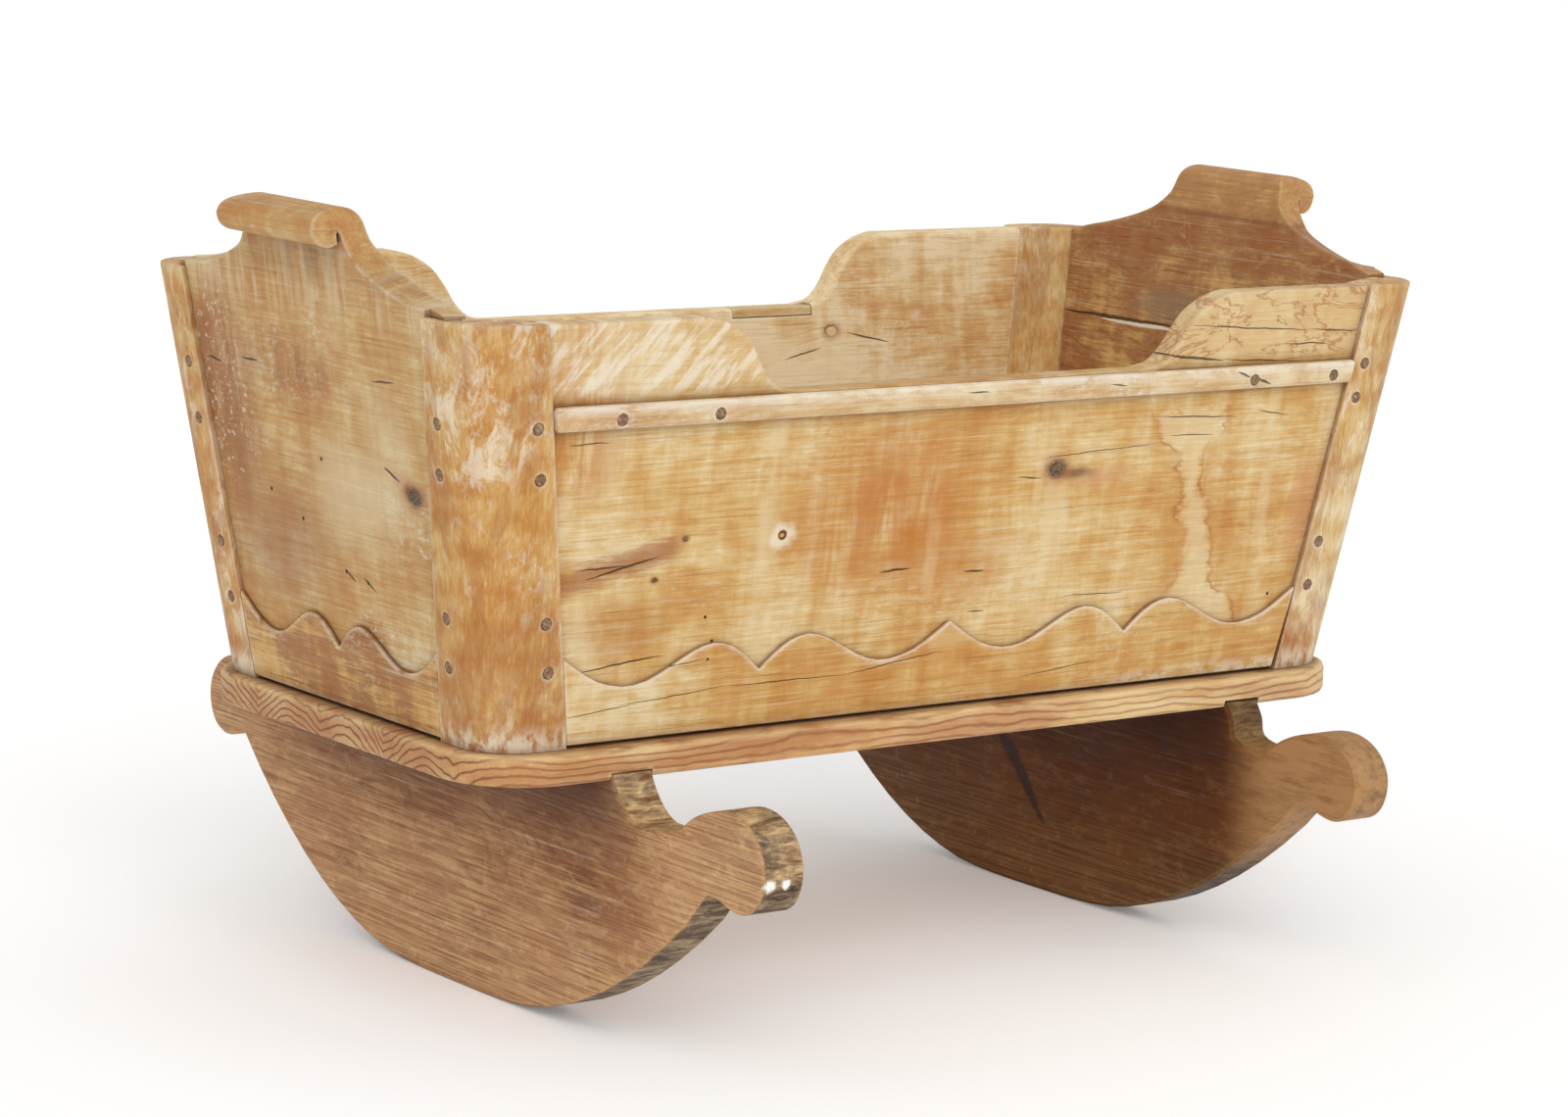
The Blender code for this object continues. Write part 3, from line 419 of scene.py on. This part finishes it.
    # The raised ends are paler, one with rims of old finish and one with slanting scrapes.
    raised = wood.times(wood.ease(wood.across, 0.452, 0.462), wood.ease(wood.along, 0.10, 0.16))
    level = wood.noise((16, 40, 30), 5.0, 0.66, 0.8)
    old_rim = wood.calc("ABSOLUTE", wood.calc("SUBTRACT", level, 0.5))
    old_rim = wood.times(wood.ease(old_rim, 0.030, 0.004), raised)
    colour = wood.stain(colour, raised, 0.40, CREAM)
    colour = wood.stain(colour, old_rim, 0.60, RUST)
    left_up = wood.times(wood.ease(wood.across, 0.452, 0.462), wood.ease(wood.along, -0.16, -0.20))
    lean = wood.node("ShaderNodeCombineXYZ")
    tilted = (wood.calc("MULTIPLY_ADD", wood.across, -0.9, wood.along),
              wood.calc("MULTIPLY_ADD", wood.along, 0.9, wood.across))
    for target, source, pace in zip(lean.inputs, tilted, (75.0, 14.0)):
        wood.feed(target, wood.times(source, pace))
    slant = wood.noise_at(lean.outputs[0], 6.0, 0.65)
    scraped = wood.times(wood.ease(slant, 0.46, 0.60), left_up)
    colour = wood.stain(colour, left_up, 0.25, CREAM)
    colour = wood.stain(colour, scraped, 0.70, CHALK)
    return splits(wood, colour, height, (
        ((0.070, 0.3905), (0.186, 0.3960), 0.0004), ((0.180, 0.4160), (0.262, 0.4125), 0.0006),
        ((0.196, 0.4010), (0.240, 0.4000), 0.0004), ((0.282, 0.4160), (0.312, 0.4110), 0.0005),
        ((0.012, 0.310), (0.032, 0.309), 0.0009), ((-0.066, 0.315), (-0.038, 0.316), 0.0011),
        ((0.020, 0.279), (0.036, 0.278), 0.0006), ((0.110, 0.284), (0.170, 0.283), 0.0004),
        ((-0.322, 0.328), (-0.262, 0.341), 0.0010), ((-0.330, 0.335), (-0.290, 0.336), 0.0007),
        ((-0.320, 0.262), (-0.250, 0.270), 0.0008), ((-0.347, 0.424), (-0.312, 0.424), 0.0005),
        ((0.052, 0.378), (0.076, 0.376), 0.0006), ((0.325, 0.476), (0.205, 0.484), 0.0006),
        ((0.374, 0.474), (0.325, 0.476), 0.0006), ((0.177, 0.463), (0.240, 0.456), 0.0012),
        ((0.240, 0.457), (0.322, 0.452), 0.0006), ((0.300, 0.466), (0.345, 0.465), 0.0006),
    ))


def far_panel(wood, colour, height):
    """Inner face of the far side board, pale and washed with a ring knot under the patch."""
    washed = wood.spot((0.130, 0.400), (0.090, 0.050), 0.5, (30, 30, 30), 0.5)
    colour = wood.stain(colour, washed, 0.5, CREAM)
    colour, height = knot(wood, colour, height, (0.176, 0.434), 0.0085)
    ring = wood.spot((0.176, 0.434), (0.0065, 0.0050), 0.3, (300, 300, 300), 0.6)
    colour = wood.mix(ring, colour, STRAW)
    return splits(wood, colour, height, (
        ((0.192, 0.432), (0.235, 0.422), 0.0008), ((0.128, 0.412), (0.165, 0.421), 0.0007),
        ((-0.300, 0.475), (-0.210, 0.478), 0.0012)))


def foot_panel(wood, colour, height):
    """Outer face of the foot board, browner at the far side, with a knot by the near post."""
    runs = wood.noise((60, 9, 9), 6.0, 0.7, 0.6, (5, 2, 2))
    rust = wood.spot((0.118, 0.425), (0.058, 0.110), 0.9, (26, 12, 20), 0.3)
    rust = wood.times(rust, wood.ease(runs, 0.36, 0.54, 0.45, 1.0))
    colour = wood.stain(colour, rust, 0.85, FOX)
    flecks = wood.times(rust, wood.ease(wood.noise((190, 190, 190), 5.0, 0.7), 0.56, 0.62))
    colour = wood.stain(colour, flecks, 0.75, CHALK)
    lower = wood.spot((0.070, 0.325), (0.110, 0.075), 0.9, (16, 20, 20), 0.2)
    colour = wood.stain(colour, lower, 0.60, FOX)
    crown = wood.spot((0.020, 0.455), (0.110, 0.035), 0.9, (30, 14, 20), 0.2)
    crown = wood.times(crown, wood.ease(runs, 0.42, 0.56, 0.3, 1.0))
    colour = wood.stain(colour, crown, 0.55, FOX)
    bare = wood.spot((-0.040, 0.365), (0.075, 0.060), 0.8, (22, 22, 22), 0.2)
    colour = wood.stain(colour, bare, 0.55, CREAM)
    rim = wood.spot((-0.095, 0.400), (0.050, 0.075), 0.7, (22, 22, 22), 0.2)
    colour = wood.stain(colour, rim, 0.35, CREAM)
    below_roll = wood.ease(wood.across, 0.548, 0.540)
    neck = wood.times(wood.times(wood.ease(wood.across, 0.480, 0.505), below_roll),
                      wood.ease(wood.noise((90, 10, 10), 4.0), 0.42, 0.60))
    colour = wood.stain(colour, neck, 0.50, CREAM)
    shadow = wood.times(wood.times(wood.ease(wood.across, 0.508, 0.532), below_roll),
                        wood.ease(wood.noise((70, 8, 8), 4.0), 0.35, 0.55, 1.0, 0.3))
    colour = wood.stain(colour, shadow, 0.45, UMBER)
    colour, height = knot(wood, colour, height, (-0.125, 0.380), 0.0125, (0.030, 0.014))
    colour, height = holes(wood, colour, height, ((0.070, 0.358), (-0.022, 0.312), (-0.050, 0.308),
                                                  (0.030, 0.342), (-0.005, 0.390)), 0.0017)
    return splits(wood, colour, height, (
        ((0.140, 0.446), (0.120, 0.444), 0.0010), ((0.090, 0.450), (0.068, 0.451), 0.0009),
        ((-0.088, 0.396), (-0.108, 0.388), 0.0013), ((-0.020, 0.314), (-0.034, 0.306), 0.0010),
        ((-0.044, 0.311), (-0.060, 0.303), 0.0010), ((-0.085, 0.455), (-0.115, 0.458), 0.0008)))


def head_panel(wood, colour, height):
    """Inner face of the head board, dark with scraped patches and one long open crack."""
    scraped = wood.times(wood.ease(wood.noise((38, 48, 48), 6.0, 0.7, 0.6, (3, 1, 2)), 0.50, 0.66),
                         wood.ease(wood.noise((150, 210, 210), 5.0, 0.7), 0.40, 0.60))
    colour = wood.stain(colour, scraped, 0.42, STRAW)
    grey = wood.spot((0.035, 0.462), (0.060, 0.022), 0.9, (40, 40, 40), 0.2)
    colour = wood.stain(colour, grey, 0.55, ASH)
    top = wood.ease(wood.across, 0.538, 0.546)
    colour = wood.stain(colour, top, 0.30, GOLD)
    crease = wood.band(0.5375, 0.5390, 0.002, wood.across)
    colour = wood.stain(colour, crease, 0.30, UMBER)
    gleam = wood.crack((0.118, 0.4428), (0.020, 0.4434), 0.0022, 0.002)
    colour = wood.mix(gleam, colour, CHALK)
    return splits(wood, colour, height, (
        ((0.172, 0.4445), (0.020, 0.4458), 0.0018), ((-0.030, 0.420), (-0.110, 0.418), 0.0008)))


def skirt_marks(wood, colour, height):
    """The side skirts' fine cracks, painted light on the lip's top faces and worn middle tip."""
    # Painted light: faces turned upward are made paler, as if lit from above.
    lit_top_faces = wood.facing("True Normal")["Z"]
    colour = wood.mix(wood.ease(lit_top_faces, 0.30, 0.55, 0.0, 0.75), colour, ROSE)
    worn = wood.spot((0.003, 0.262), (0.030, 0.012), 0.5, (60, 60, 60), 0.4)
    colour = wood.stain(colour, worn, 0.6, STRAW)
    white = wood.times(wood.ease(wood.across, 0.226, 0.212), wood.ease(wood.along, 0.10, 0.22))
    patchy = wood.ease(wood.noise((60, 90, 90), 4.0, 0.7), 0.42, 0.58)
    colour = wood.mix(wood.times(wood.times(white, patchy), 0.7), colour, CHALK)
    colour, height = holes(wood, colour, height, ((-0.214, 0.264), (0.331, 0.219)), 0.0012)
    return splits(wood, colour, height, (
        ((-0.287, 0.237), (-0.196, 0.243), 0.0004), ((-0.196, 0.243), (-0.092, 0.242), 0.0004),
        ((-0.092, 0.242), (-0.003, 0.252), 0.0005), ((-0.282, 0.258), (-0.216, 0.265), 0.0005),
        ((-0.332, 0.231), (-0.271, 0.237), 0.0004), ((0.075, 0.226), (0.150, 0.232), 0.0004)))


def rail_marks(wood, colour, height):
    """The rails: rubbed white and a painted highlight on top, with a split through one peg."""
    # Paler on top: rubbed wear together with a painted highlight.
    rubbed = wood.times(wood.ease(wood.across, 0.441, 0.450),
                        wood.ease(wood.noise((26, 60, 60), 5.0, 0.7, 0.4), 0.36, 0.56))
    colour = wood.stain(colour, rubbed, 0.65, CHALK)
    return splits(wood, colour, height, (
        ((0.249, 0.4480), (0.262, 0.4440), 0.0010), ((0.262, 0.4440), (0.284, 0.4370), 0.0013),
        ((-0.010, 0.4445), (0.010, 0.4440), 0.0007), ((0.125, 0.4440), (0.140, 0.4430), 0.0006)))


def post_marks(wood, colour, height):
    """Posts darken towards the foot in broad, scraped patches."""
    scraped = wood.ease(wood.noise((30, 60, 60), 6.0, 0.72, 0.5, (8, 2, 6)), 0.50, 0.60)
    scraped = wood.times(scraped, wood.ease(wood.noise((6, 14, 14), 3.0, 0.6), 0.42, 0.58))
    colour = wood.stain(colour, scraped, 0.55, CHALK)
    russet = wood.ease(wood.noise((10, 30, 30), 5.0, 0.66, 0.6, (1, 9, 4)), 0.45, 0.60)
    colour = wood.stain(colour, russet, 0.45, FOX)
    dark = wood.ease(wood.along, 0.330, 0.225)
    patchy = wood.ease(wood.noise((16, 34, 34), 5.0, 0.68, 0.5, (2, 5, 1)), 0.44, 0.60)
    colour = wood.mix(wood.times(wood.times(dark, patchy), 0.55), colour, RUST)
    base = wood.times(wood.ease(wood.along, 0.232, 0.214),
                      wood.ease(wood.noise((40, 90, 90), 5.0, 0.7), 0.42, 0.56))
    colour = wood.stain(colour, base, 0.7, CHALK)
    return colour, height


def pine_marks(wood, colour, height):
    """Strong late-wood lines along the base board, browner at the foot end."""
    sway = wood.noise((2.6, 7, 7), 3.0, 0.5, 0.0, (7, 2, 5))
    ripple = wood.noise((16, 30, 30), 3.0, 0.55, 0.0, (1, 6, 2))
    # Rings round a heart below the board: lines on its long edges, arcs across its ends.
    rise = wood.calc("SUBTRACT", wood.depth, 0.135)
    aside = wood.calc("SUBTRACT", wood.calc("PINGPONG", wood.add(wood.across, 0.5), 0.085), 0.030)
    radius = wood.calc("SQRT", wood.add(wood.times(rise, rise), wood.times(aside, aside)))
    field = wood.calc("MULTIPLY_ADD", sway, 0.050, wood.calc("MULTIPLY_ADD", ripple, 0.012, radius))
    wave = wood.calc("SINE", wood.times(field, FULL_TURN * 170))
    depth_of_tone = wood.ease(wood.noise((5, 16, 30), 4.0, 0.6, 0.5, (9, 9, 9)), 0.38, 0.62)
    late = wood.ease(wave, 0.15, 1.0)
    browned = wood.ease(wood.along, -0.365, -0.400)
    colour = wood.stain(colour, depth_of_tone, 0.60, RUST)
    colour = wood.stain(colour, browned, 0.45, FOX)
    colour = wood.mix(wood.times(late, wood.ease(depth_of_tone, 0.0, 1.0, 0.40, 0.75)), colour, FOX)
    dark_lines = wood.times(wood.ease(wave, 0.70, 1.0), wood.add(0.30, wood.times(browned, 0.60)))
    colour = wood.mix(dark_lines, colour, UMBER)
    height = wood.calc("MULTIPLY_ADD", late, 0.0006, height)
    worn = wood.times(wood.ease(wood.depth, 0.2035, 0.2080),
                      wood.ease(wood.noise((14, 20, 40), 4.0, 0.6), 0.38, 0.58))
    colour = wood.stain(colour, worn, 0.5, STRAW)
    return colour, height


def rocker_marks(wood, colour, height):
    """Rockers: arched grain on the faces, grey worn ends and undersides, painted shade under the base
    board, and painted light low down and on the arms.
    """
    reach = wood.times(wood.along, wood.along)
    warp = wood.noise((3.0, 7, 7), 2.0, 0.45, 0.0, (1, 8, 3))
    tilt = wood.calc("MULTIPLY_ADD", wood.along, -0.22, wood.across)
    field = wood.calc("MULTIPLY_ADD", reach, 0.75, wood.calc("MULTIPLY_ADD", warp, 0.16, tilt))
    wave = wood.calc("SINE", wood.times(field, FULL_TURN * 95))
    late = wood.times(wood.ease(wave, 0.55, 1.0),
                      wood.ease(wood.noise((12, 120, 120), 4.0, 0.6), 0.38, 0.60))
    colour = wood.stain(colour, late, 0.50, UMBER)
    fine = wood.noise((9, 520, 520), 4.0, 0.7, 0.0, (3, 3, 1))
    colour = wood.mix(wood.ease(fine, 0.48, 0.64, 0.0, 0.55), colour, UMBER)
    bright = wood.noise((8, 430, 430), 4.0, 0.7, 0.0, (1, 3, 5))
    colour = wood.mix(wood.ease(bright, 0.52, 0.68, 0.0, 0.40), colour, TAN)
    blush = wood.ease(wood.noise((8, 13, 13), 4.0, 0.6, 0.4, (6, 1, 1)), 0.48, 0.62)
    colour = wood.stain(colour, blush, 0.40, BRICK)
    worn = wood.ease(wood.noise((60, 110, 110), 7.0, 0.75, 0.2, (2, 2, 9)), 0.50, 0.68)
    colour = wood.stain(colour, worn, 0.32, TAN)
    # Painted shade: the upper middle of each rocker, under the base board, is made dark.
    shaded = wood.times(wood.ease(wood.across, 0.100, 0.190),
                        wood.ease(wood.calc("ABSOLUTE", wood.along), 0.250, 0.180))
    colour = wood.stain(colour, shaded, 0.90, UNDER_BASE_SHADE)
    # Painted light: the lower part, and the arms out from under the base, are made paler.
    painted_light = join(wood, [wood.ease(wood.across, 0.125, 0.010),
                          wood.ease(wood.calc("ABSOLUTE", wood.along), 0.210, 0.300)])
    painted_light = wood.times(painted_light, wood.ease(fine, 0.36, 0.62, 1.0, 0.25))
    painted_light = wood.times(painted_light, wood.ease(worn, 0.0, 1.0, 0.70, 1.0))
    colour = wood.stain(colour, painted_light, 0.80, TAN)
    # The edges all round show dark, dirty end grain, sooty at the knobs, and darker on the faces
    # turned downward.
    facing = wood.facing()
    edge = wood.ease(wood.calc("ABSOLUTE", facing["X"]), 0.75, 0.35)
    under = wood.times(edge, wood.ease(facing["Z"], 0.10, -0.25))
    tip = wood.times(edge, wood.ease(wood.calc("ABSOLUTE", wood.along), 0.300, 0.345))
    grain = wood.noise((150, 150, 40), 6.0, 0.72, 0.6, (4, 4, 4))
    end_tone = wood.ramp(grain, ((0.38, UMBER), (0.48, ASH), (0.58, STRAW), (0.68, CHALK)))
    colour = wood.stain(colour, edge, 0.70, end_tone)
    dirty = wood.mix(wood.ease(grain, 0.40, 0.66), SOOT, ASH)
    sooty = wood.times(tip, wood.ease(wood.noise((30, 30, 30), 4.0, 0.6, 0.5), 0.46, 0.58))
    colour = wood.mix(wood.times(join(wood, [under, wood.times(sooty, 0.8)]), 0.78), colour, dirty)
    height = wood.calc("MULTIPLY_ADD", wood.times(edge, grain), 0.0022, height)
    return colour, height


def foot_rocker_marks(wood, colour, height):
    """The foot rocker also carries two dabs of white paint on its near knob."""
    colour, height = rocker_marks(wood, colour, height)
    on_end = wood.ease(wood.facing()["Y"], -0.30, -0.60)
    dabs = []
    for place, size in ((-0.2925, 0.0052), (-0.2790, 0.0046)):
        u = wood.calc("DIVIDE", wood.calc("SUBTRACT", wood.depth, place), size)
        v = wood.calc("DIVIDE", wood.calc("SUBTRACT", wood.across, 0.1500), size * 0.9)
        away = wood.calc("SQRT", wood.add(wood.times(u, u), wood.times(v, v)))
        ragged = wood.calc("SUBTRACT", wood.noise((260, 260, 260), 4.0), 0.5)
        dabs.append(wood.ease(wood.calc("MULTIPLY_ADD", ragged, 1.4, away), 0.6, 1.1, 1.0, 0.0))
    spots = wood.times(join(wood, dabs), on_end)
    return wood.mix(spots, colour, PAINT), height


def head_rocker_marks(wood, colour, height):
    """The head rocker is darker, with painted shade from the body above, painted light on its near
    arm, and a tide mark across its face.
    """
    colour, height = rocker_marks(wood, colour, height)
    # Painted shade over all but the near arm, and painted light on that arm where it comes out from
    # under the body.
    shade = wood.ease(wood.along, -0.255, -0.190)
    colour = wood.stain(colour, shade, 0.25, UMBER)
    lit_arm = wood.times(wood.ease(wood.along, -0.200, -0.265),
                          wood.ease(wood.noise((30, 150, 150), 5.0, 0.7), 0.34, 0.58, 0.45, 0.85))
    colour = wood.mix(lit_arm, colour, BISQUE)
    tide = wood.crack((0.185, 0.150), (0.060, 0.132), 0.006, 0.016)
    tide = join(wood, [tide, wood.crack((0.070, 0.134), (0.000, 0.055), 0.008, 0.020)])
    colour = wood.stain(colour, tide, 0.75, SOOT)
    scuffs = wood.ease(wood.noise((110, 110, 110), 3.0, 0.6), 0.66, 0.72)
    low = wood.ease(wood.across, 0.090, 0.040)
    return wood.mix(wood.times(wood.times(scuffs, low), 0.5), colour, STRAW), height


def peg_material(name, seed):
    """Whittled pegs: brown and grey end grain with a dark outline of dirt and painted shade."""
    wood = Wood(name, "XYZ")
    grain = wood.noise((420, 420, 420), 5.0, 0.7, 0.4, (seed, seed, seed))
    colour = wood.ramp(grain, ((0.34, UMBER), (0.46, PEG), (0.60, ASH), (0.72, STRAW)))
    # Dirt and painted shade darken the rim of each peg.
    corner = wood.node("ShaderNodeAmbientOcclusion", samples=4)
    corner.inputs["Distance"].default_value = 0.004
    dirt_and_shade = wood.ease(corner.outputs["AO"], 0.3, 0.8, 1.0, 0.0)
    wood.feed(wood.shader.inputs["Base Color"], wood.mix(wood.times(dirt_and_shade, 0.9), colour, SOOT))
    bump = wood.node("ShaderNodeBump")
    bump.inputs["Distance"].default_value = 0.0012
    wood.feed(bump.inputs["Height"], grain)
    wood.feed(wood.shader.inputs["Normal"], bump.outputs["Normal"])
    wood.shader.inputs["Roughness"].default_value = 0.68
    return wood.material


# ---- dressing the nodes ------------------------------------------------------------------------
def dress(node, material):
    """Give a node its one material."""
    slots = nodes[node].data.materials
    slots.clear()
    slots.append(material)


BROWN = (STRAW, GOLD, BROWNED, FOX)
DEEP_BROWN = (srgb(196, 140, 96), srgb(170, 108, 68), srgb(140, 78, 44), srgb(96, 46, 24))
RED_BROWN = (srgb(190, 150, 106), srgb(166, 122, 80), srgb(142, 92, 56), srgb(98, 54, 28))

dress("near_side_board", aged_wood(
    "near_side_wood", "XZY", seed=1.3, drips=0.75, chalk=0.25, paint=near_panel))
dress("far_side_board", aged_wood(
    "far_side_wood", "XZY", seed=5.1, shift=-0.12, drips=0.9, mottle=1.6, chalk=0.35,
    richness=(0.92, 1.04), paint=far_panel))
dress("far_edge_patch", aged_wood("edge_patch_wood", "XZY", seed=9.0, shift=-0.08))
dress("foot_board", aged_wood(
    "foot_board_wood", "YZX", seed=2.2, shift=0.10, drips=0.9, mottle=1.5, chalk=0.55,
    richness=(0.96, 0.83), paint=foot_panel))
dress("head_board", aged_wood(
    "head_board_wood", "YZX", BROWN, seed=6.4, shift=0.04, drips=0.5, mottle=1.5, chalk=0.15,
    wear_tone=STRAW, richness=(0.97, 0.95), paint=head_panel))
for side in SIDES:
    dress(f"{side}_side_skirt", aged_wood(
        f"{side}_skirt_wood", "XZY", seed=3.3, shift=0.03, drips=0.8, wear=0.8,
        paint=skirt_marks))
    dress(f"{side}_rail", aged_wood(
        f"{side}_rail_wood", "XZY", seed=7.7, shift=0.02, mottle=1.8, chalk=0.7, wear=0.8,
        richness=(0.85, 0.92), paint=rail_marks))
for end in ENDS:
    dress(f"{end}_skirt", aged_wood(
        f"{end}_skirt_wood", "YZX", BROWN, seed=4.9, shift=0.02, drips=0.6, chalk=0.35,
        wear=0.8))
for side, end, dark, mottle in (("near", "foot", 0.08, 1.8), ("near", "head", -0.10, 1.1),
                                ("far", "foot", 0.08, 1.8), ("far", "head", -0.02, 1.1)):
    dress(f"{side}_{end}_post", aged_wood(
        f"{side}_{end}_post_wood", "ZXY", seed=8.1 + dark, shift=dark, curl=0.14,
        mottle=mottle, chalk=0.45, paint=post_marks))
dress("base_board", aged_wood(
    "base_pine", "XYZ", (STRAW, STRAW, GOLD, AMBER), seed=0.4, mottle=1.0, lines=0.0,
    chalk=0.15, wear=0.6, wear_tone=CREAM, richness=(0.92, 1.02), paint=pine_marks))
dress("foot_rocker", aged_wood(
    "foot_rocker_wood", "YZX", RED_BROWN, seed=11.0, mottle=1.3, lines=0.0, chalk=0.12,
    wear=0.45, wear_tone=STRAW, richness=(1.02, 0.97), paint=foot_rocker_marks))
# The darker tones and the low value paint the shade under the body into the head rocker's colour.
dress("head_rocker", aged_wood(
    "head_rocker_wood", "YZX", DEEP_BROWN, seed=13.0, shift=0.12, mottle=0.8, lines=0.0,
    chalk=0.08, wear=0.40, wear_tone=STRAW, richness=(1.18, 0.45), paint=head_rocker_marks))
peg_woods = [peg_material(f"peg_wood_{number}", number * 3.1) for number in range(4)]
for number, name in enumerate(sorted(name for name in nodes if "_peg_" in name)):
    dress(name, peg_woods[number % len(peg_woods)])

# ---- floor, light and camera -----------------------------------------------------------------------
FLOOR_SIZE = 120
FLOOR_TONE, FLOOR_GLOW = 0.93, 0.14
SKY_STRENGTH = 0.78
SUN_STRENGTH, SUN_SPREAD = 1.25, math.radians(50)
TO_SUN = Vector((-0.35, -0.80, 0.55))
CAMERA_PLACE = Vector((-2.1022, -2.7678, 0.8754))
YAW, PITCH, ROLL = (math.radians(turn) for turn in (37.2, 9.575, 2.215))
LENS, SENSOR = 106.8, 36.0

bpy.ops.mesh.primitive_grid_add(x_subdivisions=2, y_subdivisions=2, size=FLOOR_SIZE)
floor = bpy.context.object
floor.name = "studio_floor"
paper = bpy.data.materials.new("studio_paper")
paper.use_nodes = True
for key, value in (("Base Color", (FLOOR_TONE, FLOOR_TONE, FLOOR_TONE, 1)), ("Roughness", 0.9),
                   ("Emission Color", (1, 1, 1, 1)), ("Emission Strength", FLOOR_GLOW)):
    paper.node_tree.nodes["Principled BSDF"].inputs[key].default_value = value
floor.data.materials.append(paper)

world = bpy.data.worlds.new("studio")
world.use_nodes = True
world.node_tree.nodes["Background"].inputs["Color"].default_value = (1, 1, 1, 1)
world.node_tree.nodes["Background"].inputs["Strength"].default_value = SKY_STRENGTH
bpy.context.scene.world = world

sun = bpy.data.lights.new("window", "SUN")
sun.energy = SUN_STRENGTH
sun.angle = SUN_SPREAD
sun_light = bpy.data.objects.new("window", sun)
sun_light.rotation_euler = TO_SUN.to_track_quat("Z", "Y").to_euler()
bpy.context.scene.collection.objects.link(sun_light)

ahead = Vector((math.sin(YAW) * math.cos(PITCH), math.cos(YAW) * math.cos(PITCH), -math.sin(PITCH)))
level_right = Vector((math.cos(YAW), -math.sin(YAW), 0))
level_up = level_right.cross(ahead)
right = math.cos(ROLL) * level_right + math.sin(ROLL) * level_up
up = math.cos(ROLL) * level_up - math.sin(ROLL) * level_right
lens = bpy.data.cameras.new("camera")
lens.lens = LENS
lens.sensor_width = SENSOR
camera = bpy.data.objects.new("camera", lens)
turned = Matrix((right, up, -ahead)).transposed().to_4x4()
camera.matrix_world = Matrix.Translation(CAMERA_PLACE) @ turned
bpy.context.scene.collection.objects.link(camera)
bpy.context.scene.camera = camera
bpy.context.scene.view_settings.view_transform = "Standard"
